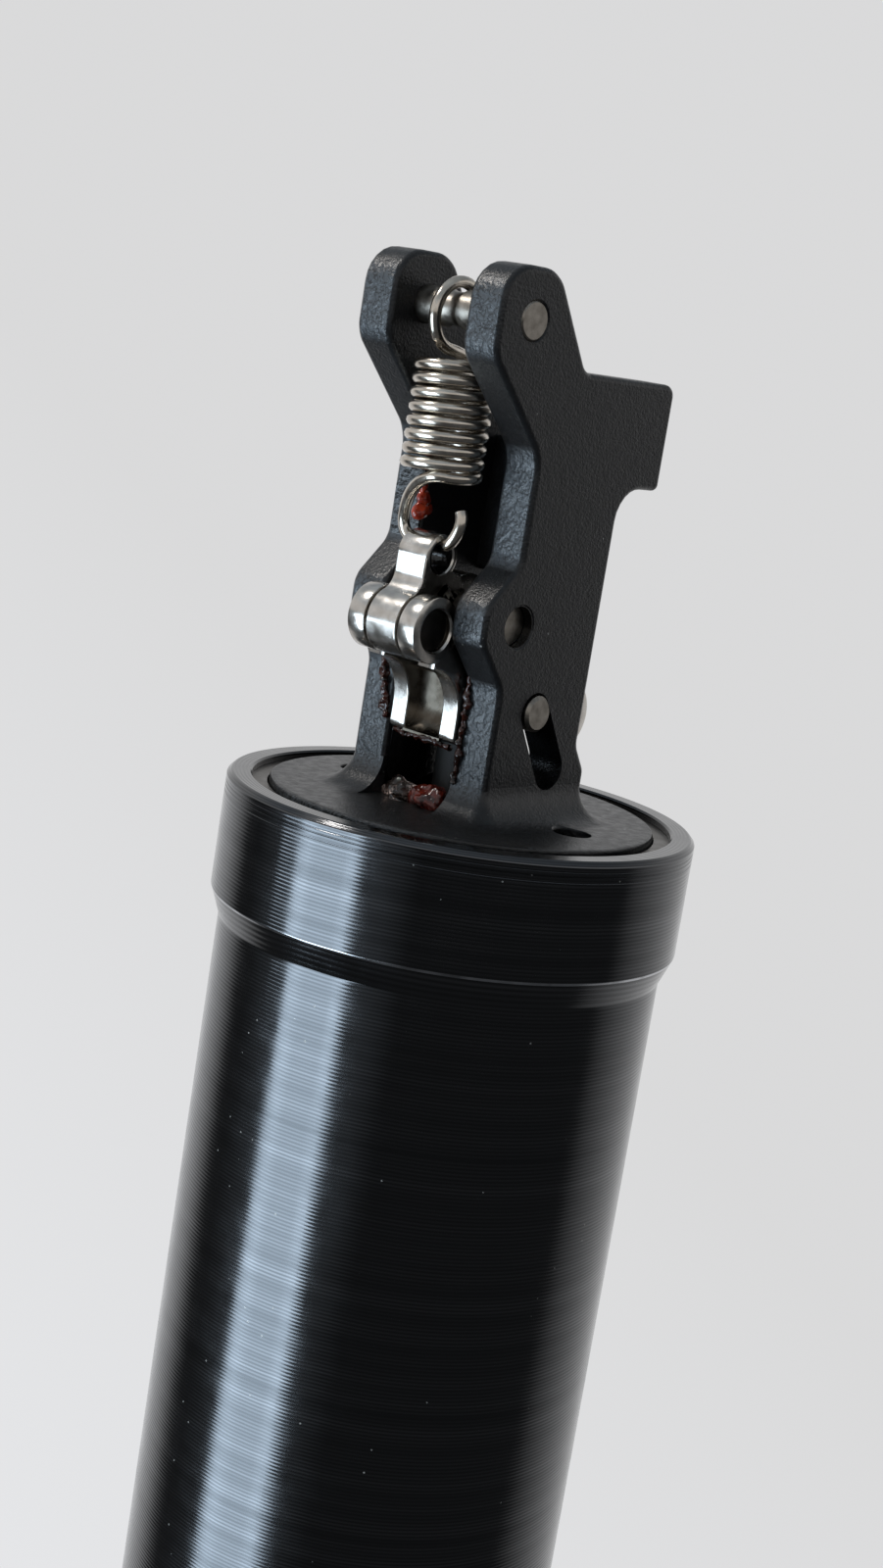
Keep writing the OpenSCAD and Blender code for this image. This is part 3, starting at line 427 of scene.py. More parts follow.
def revolve(profile, steps=64, closed=False):
    """Spins a line of [radius, height] points about the upright axis."""
    bm = bmesh.new()
    verts = [bm.verts.new((radius, 0, height)) for radius, height in profile]
    pairs = list(zip(verts, verts[1:])) + ([(verts[-1], verts[0])] if closed else [])
    edges = [bm.edges.new(pair) for pair in pairs]
    bmesh.ops.spin(bm, geom=verts + edges, cent=(0, 0, 0), axis=(0, 0, 1), angle=2 * math.pi, steps=steps,
                   use_merge=True)
    bmesh.ops.remove_doubles(bm, verts=bm.verts, dist=1e-4)
    bmesh.ops.recalc_face_normals(bm, faces=bm.faces)
    return bm


def ease(start, end, n=8):
    """Points of a smooth run between two profile points, upright at both ends."""
    return [(start[0] + (end[0] - start[0]) * (1 - math.cos(math.pi * i / n)) / 2,
             start[1] + (end[1] - start[1]) * i / n) for i in range(n + 1)]


print("helpers for pieces ready")

# %% [markdown]
# The outer tube is one turned aluminium tube. Its foot has a collar at full diameter with a bright bevel and three
# fine grooves just below it, a short cone with a crisp edge, and a longer zone that is turned down by three quarters
# of a millimetre. Above lies the zone that the frame clamps, and a shoulder. All of this is one profile, spun about
# the axis, so the cone and the bevel catch the light as a turned part does.

# %% Outer tube
TUBE_R, NECK_R, GROOVE_R = 15.8, 15.03, 15.77
foot = -INSERTION
outside = [(14.27, foot), (15.44, foot), (15.52, foot + 0.03), (15.77, foot + 0.28), (TUBE_R, foot + 0.36)]
for low in (foot + 0.62, foot + 0.92, foot + 1.3):
    outside += [(TUBE_R, low), (GROOVE_R, low + 0.03), (GROOVE_R, low + 0.07), (TUBE_R, low + 0.1)]
outside += [(TUBE_R, foot + 7.8), (15.785, foot + 7.87), (15.745, foot + 7.95), (15.14, foot + 9.5),
            (15.06, foot + 9.67), (NECK_R, foot + 9.85)]
outside += ease((NECK_R, -97.5), (TUBE_R, -95), 8)
outside += [(TUBE_R, -0.15), (15.95, 0)]
outside += [(16.25 + math.sin(a) * 1.0, 1 - math.cos(a)) for a in (0, 0.4, 0.8, 1.2, 1.57)]
outside += [(17.25, 5.7), (17.0, 6), (15.2, 6), (15.2, 13)]
inside = [(13.77, 13), (13.77, -9.02), (13.0, -9.02), (13.0, foot + 3.6), (14.15, foot + 3.6), (14.15, foot + 1.55),
          (14.65, foot + 1.55), (14.65, foot + 0.5), (14.15, foot + 0.5), (14.15, foot + 0.12)]
piece("tube", revolve(outside + inside, 180, True), at_post, "lower_tube", "anodised_gloss", ["outer_tube"], 16)

# %% [markdown]
# The bracket is milled from one block: a round base that drops into the collar, and two cheek plates that carry the
# linkage. A cheek's outline is a row of corners, each with its own rounding. The plate is that outline extruded, its
# upright edges bevelled to the roundings and its rims softened. The foot's fillet is a flat face inset step by step
# along a quarter circle. Holes for the pins and the slots are cut at the end.

# %% Bracket
CHEEK_IN, CHEEK_OUT, CHEEK_FRONT, CHEEK_BACK = 3.05, 5.87, 5.05, 5.1
FLARE, SLOT_HALF, SLOT_RUN, SLOT_SLANT = 2.4, 1.36, 4.5, math.radians(32)
SPANNER_AHEAD, SPANNER_SIDE = -0.8, 8.915
pivot, joint, lug, anchor = (4.3, 12.9), (8.65, 12.0), (7.35, 16.4), (-5.8, 6.4)
slot_pin, spring_pin = (1.2, 7.27), (7.6, 31.8)
slot_end = (slot_pin[0] - SLOT_RUN * math.sin(SLOT_SLANT), slot_pin[1] - SLOT_RUN * math.cos(SLOT_SLANT))


def rounding(bm, geom, offset, segments, affect="EDGES", clamp=False):
    """Bevels edges or corners to a round of even width."""
    bmesh.ops.bevel(bm, geom=geom, offset=offset, offset_type="OFFSET", segments=segments, profile=0.5, affect=affect,
                    clamp_overlap=clamp, material=-1)


def lift(bm, face, by):
    """Extrudes a lone face into a closed solid."""
    new = bmesh.ops.extrude_face_region(bm, geom=[face])["geom"]
    bmesh.ops.translate(bm, vec=by, verts=[g for g in new if isinstance(g, bmesh.types.BMVert)])
    bmesh.ops.recalc_face_normals(bm, faces=bm.faces)


def plate(corners, low, high, rim=0.3, arc=6):
    """A plate between two offsets to the side, from corners of [ahead, height, radius], with soft rims."""
    bm = bmesh.new()
    points = [bm.verts.new((ahead, low, height)) for ahead, height, radius in corners]
    lift(bm, bm.faces.new(points), (0, high - low, 0))
    for i, (ahead, height, radius) in enumerate(corners):
        if radius:
            here = Vector((ahead, height))
            before, after = (Vector(corners[k % len(corners)][:2]) - here for k in (i - 1, i + 1))
            upright = next(e for e in points[i].link_edges if abs(e.other_vert(points[i]).co.y - low) > 1e-6)
            rounding(bm, [upright], radius / math.tan(before.angle(after) / 2), arc)
    if rim:
        rounding(bm, [e for e in bm.edges if abs(e.verts[0].co.y - e.verts[1].co.y) < 1e-6
                      and e.calc_face_angle(0) > 0.8], rim, 4)
    return bm


def cross(profile, at, steps=48, closed=False):
    """Spins a line of [radius, offset to the side] points about a cross axis at [ahead, height]."""
    bm = revolve(profile, steps, closed)
    turn = Matrix.Translation((at[0], 0, at[1])) @ Matrix.Rotation(-math.pi / 2, 4, "X")
    bmesh.ops.transform(bm, matrix=turn, verts=bm.verts)
    return bm


def hole(at, radius, reach=CHEEK_OUT, bevel=0.1):
    """A cutter for a cross hole whose mouths are bevelled at the given reach to the side."""
    past, wide = reach + 0.5, radius + bevel + 0.5
    return cross([(0, -past), (wide, -past), (radius, bevel - reach), (radius, reach - bevel), (wide, past),
                  (0, past)], at)


def stadium(start, end, half):
    """Corners of a slot between two points, with round ends."""
    ahead = (Vector(end) - Vector(start)).normalized() * half
    side = Vector((-ahead.y, ahead.x))
    a, b = Vector(start) - ahead, Vector(end) + ahead
    return [(*(p + s), half * 0.98) for p, s in ((a, side), (b, side), (b, -side), (a, -side))]


def block(low, high):
    """A plain box between two corners, used as a cutter."""
    bm = bmesh.new()
    bmesh.ops.create_cube(bm, size=1.0)
    size = [b - a for a, b in zip(low, high)]
    middle = [(a + b) / 2 for a, b in zip(low, high)]
    bmesh.ops.scale(bm, vec=size, verts=bm.verts)
    return moved(bm, middle)


def join(parts):
    """Puts several shapes into one bmesh."""
    out = bmesh.new()
    for part in parts:
        mesh = bpy.data.meshes.new("part")
        part.to_mesh(mesh)
        part.free()
        out.from_mesh(mesh)
        bpy.data.meshes.remove(mesh)
    return out


def flared_foot(front, back, side, radius, corner=0.4, steps=9):
    """The foot of both cheeks: a flat face inset along a quarter circle, with its crown inside the cheeks."""
    bm = bmesh.new()
    front, back, side = front + radius, -back - radius, side + radius
    corners = ((front, -side), (front, side), (back, side), (back, -side))
    bm.faces.new([bm.verts.new((x, y, -0.5)) for x, y in corners])
    rounding(bm, bm.verts[:], radius + corner, 6, "VERTICES")
    lift(bm, bm.faces[:][0], (0, 0, 0.5))
    crown = max(bm.faces, key=lambda f: f.calc_center_median().z)
    for i in range(steps):
        a, b = (math.pi / 2 * k / steps for k in (i, i + 1))
        bmesh.ops.inset_region(bm, faces=[crown], thickness=radius * (math.sin(b) - math.sin(a)),
                               depth=radius * (math.cos(a) - math.cos(b)), use_even_offset=True)
    bmesh.ops.inset_region(bm, faces=[crown], thickness=0.35, depth=0.15, use_even_offset=True)
    return bm


def slot_cutter(reach):
    """A cutter for the slanted slots, as far as a reach to both sides."""
    return plate(stadium(slot_pin, slot_end, SLOT_HALF), -reach, reach, 0, 8)


def spanner_holes():
    """Cutters for the two holes in the base that a pin spanner turns it by."""
    return [moved(revolve([(0, -5), (1.25, -5), (1.25, -0.08), (1.6, 0.4), (0, 0.4)], 32),
                  (SPANNER_AHEAD * side, SPANNER_SIDE * side, 0)) for side in (1, -1)]


outline = [(CHEEK_FRONT, -0.4, 0), (CHEEK_FRONT, 8.75, 1.6), (7.63, 11.75, 1.4), (7.63, 14.05, 1.6),
           (CHEEK_FRONT, 16.7, 1.5), (CHEEK_FRONT, 23.6, 2.5), (10.84, 29.39, 2.0), (10.84, 35.05, 2.4),
           (5.77, 35.05, 2.2), (1.71, 29.15, 1.2), (-7.9, 29.15, 0.8), (-7.9, 22.17, 0.45), (-3.92, 22.17, 2.2),
           (-3.92, 5.0, 1.2), (-CHEEK_BACK, 3.3, 1.0), (-CHEEK_BACK, -0.4, 0)]
cheeks = []
for low, high in ((CHEEK_IN, CHEEK_OUT), (-CHEEK_OUT, -CHEEK_IN)):
    cuts = [hole(spring_pin, 1.245), hole(pivot, 1.41, bevel=0.07), slot_cutter(7)]
    cheeks.append(combine(plate(outline, low, high, 0.4), cuts, "DIFFERENCE"))
base = revolve([(0, 0), (12.72, 0), (12.89, -0.07), (12.96, -0.24), (12.96, -1.6), (14.1, -1.6), (14.1, -3.6),
                (7, -3.6), (7, -10), (0, -10)], 144)
plunger_bore = revolve([(0, -6), (2.27, -6), (2.27, 0.5), (0, 0.5)], 40)
base = combine(base, [*spanner_holes(), plunger_bore], "DIFFERENCE")
gap = block((-9, -CHEEK_IN, -1), (9, CHEEK_IN, 5))
foot_flare = combine(flared_foot(CHEEK_FRONT, CHEEK_BACK, CHEEK_OUT, FLARE), [gap, slot_cutter(9), *spanner_holes()],
                     "DIFFERENCE")
shelf = plate([(-1.15, 15.2, 0.3), (-1.15, 24.17, 0.3), (-7.9, 24.17, 0.3), (-7.9, 22.17, 0.3), (-3.92, 22.17, 1.0),
               (-3.92, 15.2, 0.3)], -CHEEK_IN - 0.2, CHEEK_IN + 0.2, 0)
slit_end = moved(revolve([(0, 21), (1.1, 21), (1.1, 26), (0, 26)], 32), (-5.8, 0, 0))
shelf = combine(shelf, [block((-9, -1.1, 21), (-5.8, 1.1, 26)), slit_end], "DIFFERENCE")
piece("bracket", join(cheeks + [base, foot_flare, shelf]), at_foot, "lower_tube", "anodised_matt",
      ["actuator_bracket"])

# %% [markdown]
# Four ground pins cross the bracket. The spring pin has a round groove that the spring's loop lies in, the pivot pin
# is sunk below the cheek's face, and the slot pin stands proud of it with a small bevel. Each is a short profile spun
# about its cross axis. The barrel joint's pin is darker and ends a little inside the link's ears.

# %% Pins
def pin_profile(radius, half, bevel):
    """Half a section of a plain pin with bevelled ends."""
    return [(0, -half), (radius - bevel, -half), (radius, bevel - half), (radius, half - bevel),
            (radius - bevel, half), (0, half)]


SPRING_PIN_R = 1.225
ends = pin_profile(SPRING_PIN_R, CHEEK_OUT, 0.1)
groove = [(1.05 + 0.175 * (1 - math.cos(a)), -0.4 + 0.8 * math.sin(a))
          for a in [math.pi / 2 * k / 4 for k in range(-4, 5)]]
grooved = ends[:3] + [(SPRING_PIN_R, -1.25)] + groove + [(SPRING_PIN_R, 0.45)] + ends[3:]
piece("grooved_pin", cross(grooved, spring_pin), at_foot, "lower_tube", "ground_steel", ["spring_pin"])
piece("sunk_pin", cross(pin_profile(1.39, 5.12, 0.12), pivot), at_foot, "lower_tube", "ground_steel", ["pivot_pin"])
piece("proud_pin", cross(pin_profile(1.2, 6.2, 0.2), slot_pin), at_foot, "link", "ground_steel", ["slot_pin"])
piece("barrel_pin", cross(pin_profile(1.35, 2.6, 0.08), joint), at_foot, "link", "dark_steel", ["link_pin"])

# %% [markdown]
# The bellcrank is a thick blanked plate: a barrel in front, a lug above it for the spring, a hub on the pivot, and an
# arm that runs back between the cheeks and widens into a fork for the cable anchor. It is joined from round and
# straight plates with soft rims, and bored at the four centres. The hollow neck between lug and barrel is a rounded
# inner corner, tangent to both.

# %% Bellcrank
def disc(at, radius, low, high, rim=0.12):
    """A round plate between two offsets to the side, with a soft rim."""
    third = 0.3 * rim
    return cross([(0, low), (radius - rim, low), (radius - third, low + third), (radius, low + rim),
                  (radius, high - rim), (radius - third, high - third), (radius - rim, high), (0, high)], at, 56)


def bar(start, end, half, low, high, rim=0.12):
    """A straight plate between two centres."""
    ahead = (Vector(end) - Vector(start)).normalized()
    side = Vector((-ahead.y, ahead.x)) * half
    a, b = Vector(start), Vector(end)
    return plate([(*(a + side), 0), (*(b + side), 0), (*(b - side), 0), (*(a - side), 0)], low, high, rim)


def between(a, b, t):
    """The point at a share t of the way from a to b."""
    return (a[0] + (b[0] - a[0]) * t, a[1] + (b[1] - a[1]) * t)


HALF, FORK_IN, FORK_OUT, ARM, BARREL = 1.25, 1.5, 2.85, 1.5, 2.15
both_sides = ((FORK_IN, FORK_OUT), (-FORK_OUT, -FORK_IN))
neck = plate([(8.85, 16.4, 0), (8.85, 14.292, 1.3), (9.62, 13.92, 0), (8.65, 12.2, 0), (4.3, 12.9, 0), (4.3, 15.1, 0),
              (6.1, 15.6, 0)], -HALF, HALF, 0.12)
crank = combine(disc(joint, BARREL, -HALF, HALF, 0.08), [
    disc(lug, 1.5, -HALF, HALF, 0.14), neck, disc(pivot, 2.6, -HALF, HALF), bar(joint, pivot, 1.85, -HALF, HALF),
    bar(pivot, between(pivot, anchor, 0.7), ARM, -HALF, HALF)], "UNION")
start = between(pivot, anchor, 0.61)
crank = combine(crank, [bar(start, between(pivot, anchor, 0.74), ARM, -FORK_OUT, FORK_OUT)], "UNION")
for low, high in both_sides:
    crank = combine(crank, [bar(start, anchor, ARM, low, high), disc(anchor, 2.5, low, high)], "UNION")
crank = combine(crank, [hole(pivot, 1.44, HALF, 0.06), hole(joint, 1.4, HALF, 0.06), hole(lug, 1.02, HALF, 0.13),
                        hole(anchor, 1.62, FORK_OUT, 0.08)], "DIFFERENCE")
piece("crank_plate", crank, at_foot, "lever", "stainless", ["bellcrank"])

# %% [markdown]
# The push link hangs from the barrel and pushes the slot pin down. It is a folded or milled fork: two sides with
# round ears, scooped out in front so that they read as two bright prongs, and a web between them set back and turned
# forward at its foot. Sides and web are plates from corners again, and the scoop is one large inner rounding.

# %% Push link
sides = []
for low, high in both_sides:
    side = plate([(7.926, 13.14, 0), (0.476, 8.41, 0), (0.3, 5.67, 0), (1.8, 4.55, 0.4), (5.3, 4.55, 0.5),
                  (5.3, 9.55, 3.1), (8.3, 9.55, 0), (8.3, 10.6, 0)], low, high, 0.12, 10)
    side = combine(side, [disc(joint, BARREL, low - 0.02, high + 0.02, 0.08),
                          disc(slot_pin, 1.95, low - 0.01, high + 0.01)], "UNION")
    cuts = [hole(joint, 1.37, FORK_OUT, 0.1), hole(slot_pin, 1.22, FORK_OUT, 0.05)]
    sides.append(combine(side, cuts, "DIFFERENCE"))
web = plate([(2.75, 4.55, 0.1), (5.25, 4.55, 0), (5.25, 4.7, 0), (4.95, 4.85, 0), (4.65, 5.12, 0), (4.42, 5.5, 0),
             (4.28, 6.0, 0), (4.25, 6.6, 0), (4.45, 8.9, 0.3), (2.75, 8.9, 0.3)], -1.6, 1.6, 0)
piece("link_fork", join(sides), at_foot, "link", "stainless", ["push_link"])
# The web's oily steel is darkened as painted shade.
piece("link_web", web, at_foot, "link", "oily_steel_painted_shade", ["push_link"])

# %% [markdown]
# The return spring is wound from one length of wire. It starts with an open loop in the spring pin's groove, runs
# down in some eight close coils, and ends in a hook that goes through the bellcrank's lug. The wire follows a path
# made of these three runs with smooth joins, as a round tube.

# %% Return spring
WIRE, LOOP_R, LOOP_Z, COIL_R, COIL_TOP, PITCH, PER_TURN = 0.78, 2.115, 31.36, 2.27, 29.14, 0.876, 24
loop = [Vector((spring_pin[0] + LOOP_R * math.cos(a), -0.4, LOOP_Z + LOOP_R * math.sin(a)))
        for a in [math.radians(215 - 295 * i / 30) for i in range(31)]]
coil = []
for i in range(12, 213):
    turn = i / PER_TURN
    lean = max(0, 1 - turn / 4)
    radius = COIL_R + 0.04 * turn / 9
    coil.append(Vector((lug[0] + 0.08 * lean + radius * math.cos(-2 * math.pi * turn),
                        -0.12 * lean + radius * math.sin(-2 * math.pi * turn),
                        COIL_TOP - PITCH * turn + 0.09 * max(0, turn - 7.9))))
hook = [Vector(point) for point in (
    (9.15, 1.26, 21.49), (9.07, 0.26, 21.16), (8.72, -0.78, 20.52), (8.22, -1.62, 19.68), (7.77, -2.13, 18.77),
    (7.52, -2.29, 18.13), (7.42, -2.11, 17.6), (7.38, -1.68, 17.22), (7.36, -1.1, 17.03), (7.35, -0.4, 16.97),
    (7.35, 0.4, 16.98), (7.35, 1.0, 17.07), (7.34, 1.45, 17.25), (7.33, 1.81, 17.55), (7.3, 2.1, 18.05),
    (7.27, 2.24, 18.6), (7.22, 2.2, 19.1), (7.2, 2.05, 19.45))]


def bend(p, s, q, e, n):
    """A smooth join from point p with heading s to point q with heading e, without its two ends."""
    out = []
    for t in [i / n for i in range(1, n)]:
        a = t * t * (3 - 2 * t)
        out.append(p * (1 - a) + q * a + s * (t * (1 - t) * (1 - t)) - e * (t * t * (1 - t)))
    return out


def rounded(points, n=4):
    """A smooth line through points, with n steps from each to the next."""
    out = []
    for i in range(len(points) - 1):
        p, q = points[i], points[i + 1]
        s = (q - points[i - 1]) / 2 if i else q - p
        e = (points[i + 2] - p) / 2 if i + 2 < len(points) else q - p
        out += [p] + bend(p, s, q, e, n)
    return out + [points[-1]]


path = (loop + bend(loop[-1], Vector((-3.2, 0, -0.3)), coil[0], Vector((0, 2.6, -0.2)), 10) + coil
        + rounded(coil[-2:] + hook)[4:])


def wire_mesh(points, diameter, sides=3):
    """A round tube along points, made by a curve and turned into a bmesh."""
    curve = bpy.data.curves.new("wire", "CURVE")
    curve.dimensions = "3D"
    curve.bevel_depth = diameter / 2
    curve.bevel_resolution = sides
    curve.use_fill_caps = True
    spline = curve.splines.new("POLY")
    spline.points.add(len(points) - 1)
    for knot, point in zip(spline.points, points):
        knot.co = (*point, 1)
    ob = bpy.data.objects.new("wire", curve)
    bpy.context.scene.collection.objects.link(ob)
    return finished(ob)


bm = wire_mesh(path, WIRE)
bmesh.ops.transform(bm, matrix=at_foot, verts=bm.verts)
bmesh.ops.recalc_face_normals(bm, faces=bm.faces)
spring = as_object("wound_spring", bm)
spring.data.shade_smooth()
spring.data.materials.append(finishes["spring_wire"])
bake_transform(spring)
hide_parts("return_spring")
print("spring wire with", len(path), "points")

# %% [markdown]
# The plunger is a black plastic button that stands out of the base between the cheeks, with a narrower tip that meets
# the slot pin. It is spun from its profile with soft shoulders. The cable anchor behind it is a turned swivel and
# keeps the frame's shape, as do the snap ring and the small screw.

# %% Plunger
button = revolve([(0, -3), (2.2, -3), (2.2, 3.85), (2.08, 4.13), (1.8, 4.25), (1.3, 4.25), (1.3, 5.72), (1.24, 5.86),
                  (1.1, 5.92), (0, 5.92)], 48)
piece("plunger", button, at_foot, "release", "black_plastic", ["release_plunger"])

# %% [markdown]
# The linkage is packed with red grease, and some of it has been pressed out: beads along the inner edges of both
# cheeks, strands under the link, a lump on the floor between the cheeks and a drop behind the spring's hook. A bead
# is a round line and a lump a ball, both pushed in and out by noise so that no two places are alike, and a film is a
# thin sheet on a face. Thin grease is clear and reddish, thick grease with dirt in it is nearly black, and all of it
# is wet. Thin near-black sheets of painted shade line the mouth of the pivot's bore and the eye of the lug.

# %% Grease
def wet(name, dark, light, clear, roughness, bumps):
    """Grease: a glossy body of two tones that lets a share of the light through."""
    material, tree, shader, where = new_finish(name, light, 0.0, roughness, 1.47)
    shader.inputs["Transmission Weight"].default_value = clear
    streaks = grain(tree, where, 1.7, 3.0)
    tint(tree, shader.inputs["Base Color"], spread(tree, streaks, 0.35, 0.65, 0, 1), dark, light)
    relief(tree, shader, grain(tree, where, 2.6, 3.0), bumps, 0.6)
    return material


finishes["red_grease"] = wet("red grease", (0.035, 0.006, 0.004), (0.17, 0.022, 0.012), 0.2, 0.10, 0.10)
# Painted light: a lighter copy of the red grease, for the drop that sits in the light.
finishes["red_grease_painted_lit"] = wet("red grease painted lighter as lit", (0.20, 0.014, 0.006), (0.46, 0.050, 0.018), 0.15, 0.06, 0.05)
finishes["dark_grease"] = wet("dirty grease", (0.008, 0.003, 0.002), (0.045, 0.010, 0.006), 0.0, 0.10, 0.10)
# Near-black: black grease on the film, and painted shade where the same sheets line the pivot's bore and the lug's
# eye.
finishes["black_grease_and_shade"] = wet("black grease and painted shade", (0.002, 0.002, 0.002), (0.006, 0.005, 0.005), 0.0, 0.12, 0.06)
finishes["thin_grease"] = wet("thin grease", (0.55, 0.36, 0.30), (0.80, 0.68, 0.62), 1.0, 0.05, 0.02)


def lumpy(bm, amount, per_mm, seed):
    """Pushes every point of a shape in or out along its normal by noise."""
    bm.normal_update()
    for v in bm.verts:
        v.co += v.normal * (noise.noise(v.co * per_mm + Vector((seed, seed * 1.7, 0))) * amount)
    return bm


def bead(points, thick, seed):
    """A lumpy round line through points."""
    return lumpy(wire_mesh(rounded([Vector(q) for q in points], 12), thick, 4), thick * 0.85, 2.6, seed)


def lump(at, size, seed):
    """A lumpy ball of the given half sizes."""
    bm = bmesh.new()
    bmesh.ops.create_icosphere(bm, subdivisions=5, radius=1.0)
    bmesh.ops.scale(bm, vec=size, verts=bm.verts)
    return lumpy(lumpy(moved(bm, at), min(size) * 0.6, 1.1, seed), min(size) * 0.07, 3.5, seed)


def above(bm, height):
    """Cuts off what lies below a height and closes the cut."""
    cut = bmesh.ops.bisect_plane(bm, geom=bm.verts[:] + bm.edges[:] + bm.faces[:], plane_co=(0, 0, height),
                                 plane_no=(0, 0, 1), clear_inner=True)["geom_cut"]
    bmesh.ops.holes_fill(bm, edges=[g for g in cut if isinstance(g, bmesh.types.BMEdge)], sides=0)
    return bm


ALL_SMOOTH = 180
thick = join([above(lump((4.6, 1.25, 0.6), (0.9, 1.35, 1.0), 3), 0.01),
              above(lump((4.6, 0.0, 0.3), (0.7, 0.7, 0.6), 8), 0.01)])
piece("grease_floor", thick, at_foot, "lower_tube", "red_grease", [], ALL_SMOOTH)
thin = join([above(lump((4.2, -1.8, 0.35), (1.0, 1.2, 0.8), 12), 0.01),
             above(lump((5.3, -0.9, 0.05), (0.6, 0.8, 0.3), 17), 0.01)])
piece("grease_smear", thin, at_foot, "lower_tube", "thin_grease", [], ALL_SMOOTH)
right = [(5.22, 3.42, 9.2), (5.24, 3.36, 8.0), (5.2, 3.4, 6.6), (5.22, 3.33, 5.2), (5.2, 3.36, 3.6), (5.2, 3.3, 2.2)]
left = [(5.15, -4.2, 9.0), (5.18, -4.1, 8.4), (5.15, -3.85, 7.6), (5.18, -3.7, 6.6), (5.12, -3.4, 5.4),
        (5.1, -3.35, 5.0)]
beads = join([bead(right, 0.36, 5), bead(left, 0.55, 21)])
piece("grease_edges", beads, at_foot, "lower_tube", "dark_grease", [], ALL_SMOOTH)
strand = [(4.7, -2.7, 4.42), (5.0, -1.6, 4.36), (5.1, -0.2, 4.4), (5.05, 1.2, 4.3), (5.15, 2.6, 4.36)]
piece("grease_strand", bead(strand, 0.34, 31), at_foot, "link", "dark_grease", [], ALL_SMOOTH)
drop = join([lump((5.3, -2.85, 18.95), (0.82, 0.45, 0.72), 41), lump((5.35, -2.9, 19.6), (0.5, 0.36, 0.62), 44),
             lump((5.45, -2.95, 20.25), (0.26, 0.26, 0.62), 47)])
# The drop takes the lighter copy of the red grease, painted as lit.
piece("grease_drop", drop, at_foot, "lower_tube", "red_grease_painted_lit", [], ALL_SMOOTH)
inner = plate([(4.6, 1.0, 0.6), (4.7, 6.5, 0.5), (2.2, 7.2, 0.8), (-0.6, 5.4, 0.6), (-0.9, 1.6, 0.8),
               (1.4, 0.6, 0.5)], -3.06, -2.98, 0)
front = plate([(-5.5, 16.9, 0.3), (-3.2, 16.9, 0.3), (-3.1, 19.0, 0.4), (-3.3, 21.6, 0.5), (-4.6, 22.4, 0.6),
               (-5.6, 20.2, 0.5)], -5.11, -5.04, 0)
bmesh.ops.rotate(front, matrix=Matrix.Rotation(math.pi / 2, 3, "Z"), verts=front.verts)
piece("grease_film", join([inner, front]), at_foot, "lower_tube", "black_grease_and_shade", [])
bore = [(1.33, 5.14), (1.405, 5.14), (1.405, 5.8), (1.33, 5.8)]
# Painted shade: a near-black sheet lines the mouth of the pivot's bore.
piece("painted_shade_bore", cross(bore, pivot, 48, True), at_foot, "lower_tube", "black_grease_and_shade", [])
eye = [(0.96, -1.2), (1.01, -1.2), (1.01, 1.2), (0.96, 1.2)]
# Painted shade: a near-black sheet lines the eye of the lug.
piece("painted_shade_eye", cross(eye, lug, 48, True), at_foot, "lever", "black_grease_and_shade", [])

# %% [markdown]
# At the other end the seal nut screws over the tube's mouth. It is turned, then fluted for grip with a ball cutter,
# so the flutes are round grooves cut out of the spun nut. Inside it sits the wiper, a rubber ring with a lip against
# the stanchion, and the stanchion itself is a plain tube with a fine black surface.

# %% Seal nut, wiper and stanchion
FLUTES, FLUTE_AT = 24, 18.3
nut = revolve([(15.22, 6), (17.0, 6), (17.25, 6.25), (17.25, 15.6), (17.15, 15.95), (16.2, 16.9), (15.9, 17),
               (14.57, 17), (14.57, 13.02), (15.22, 13.02)], 192, True)
flutes = []
for a in [2 * math.pi * i / FLUTES for i in range(FLUTES)]:
    cutter = revolve([(0, 7.0), (0.7, 7.15), (1.2, 7.6), (1.4, 8.3), (1.4, 13.1), (1.2, 13.8), (0.7, 14.25),
                      (0, 14.4)], 20)
    flutes.append(moved(cutter, (FLUTE_AT * math.cos(a), FLUTE_AT * math.sin(a), 0)))
nut = combine(nut, [join(flutes)], "DIFFERENCE")
piece("fluted_nut", nut, at_post, "lower_tube", "anodised_gloss", ["seal_nut"])
lip = revolve([(13.22, 13.02), (14.53, 13.02), (14.53, 16.9), (14.4, 17.05), (13.7, 18.1), (13.4, 18.4), (13.1, 18.5),
               (12.75, 18.3), (12.62, 18.2), (12.62, 16.4), (13.22, 15.8)], 144, True)
piece("wiper", lip, at_post, "lower_tube", "seal_rubber", ["wiper_seal"])
slider = revolve([(11.0, -62), (12.3, -62), (12.5, -61.8), (12.5, -60), (12.0, -60), (12.0, -48), (12.5, -48),
                  (12.5, 134.8), (12.3, 135), (11.0, 135)], 144, True)
piece("sliding_tube", slider, at_post, "post", "anodised_gloss", ["stanchion"])

# %% [markdown]
# The head is a forging: every edge and every inner corner of it is round. Bevels can't follow all the places where
# its neck, socket and cross barrel run into each other, so a merged copy of its engineered shape gets a fine even
# skin from the Remesh modifier, and smoothing that skin a few times rounds edges and corners alike.

# %% Head
def merged(node):
    """A copy of a node in millimetres, with its loose triangles merged."""
    bm = bmesh.new()
    bm.from_mesh(nodes[node].data)
    bmesh.ops.scale(bm, vec=(1 / MM,) * 3, verts=bm.verts)
    bmesh.ops.remove_doubles(bm, verts=bm.verts, dist=1e-3)
    return bm


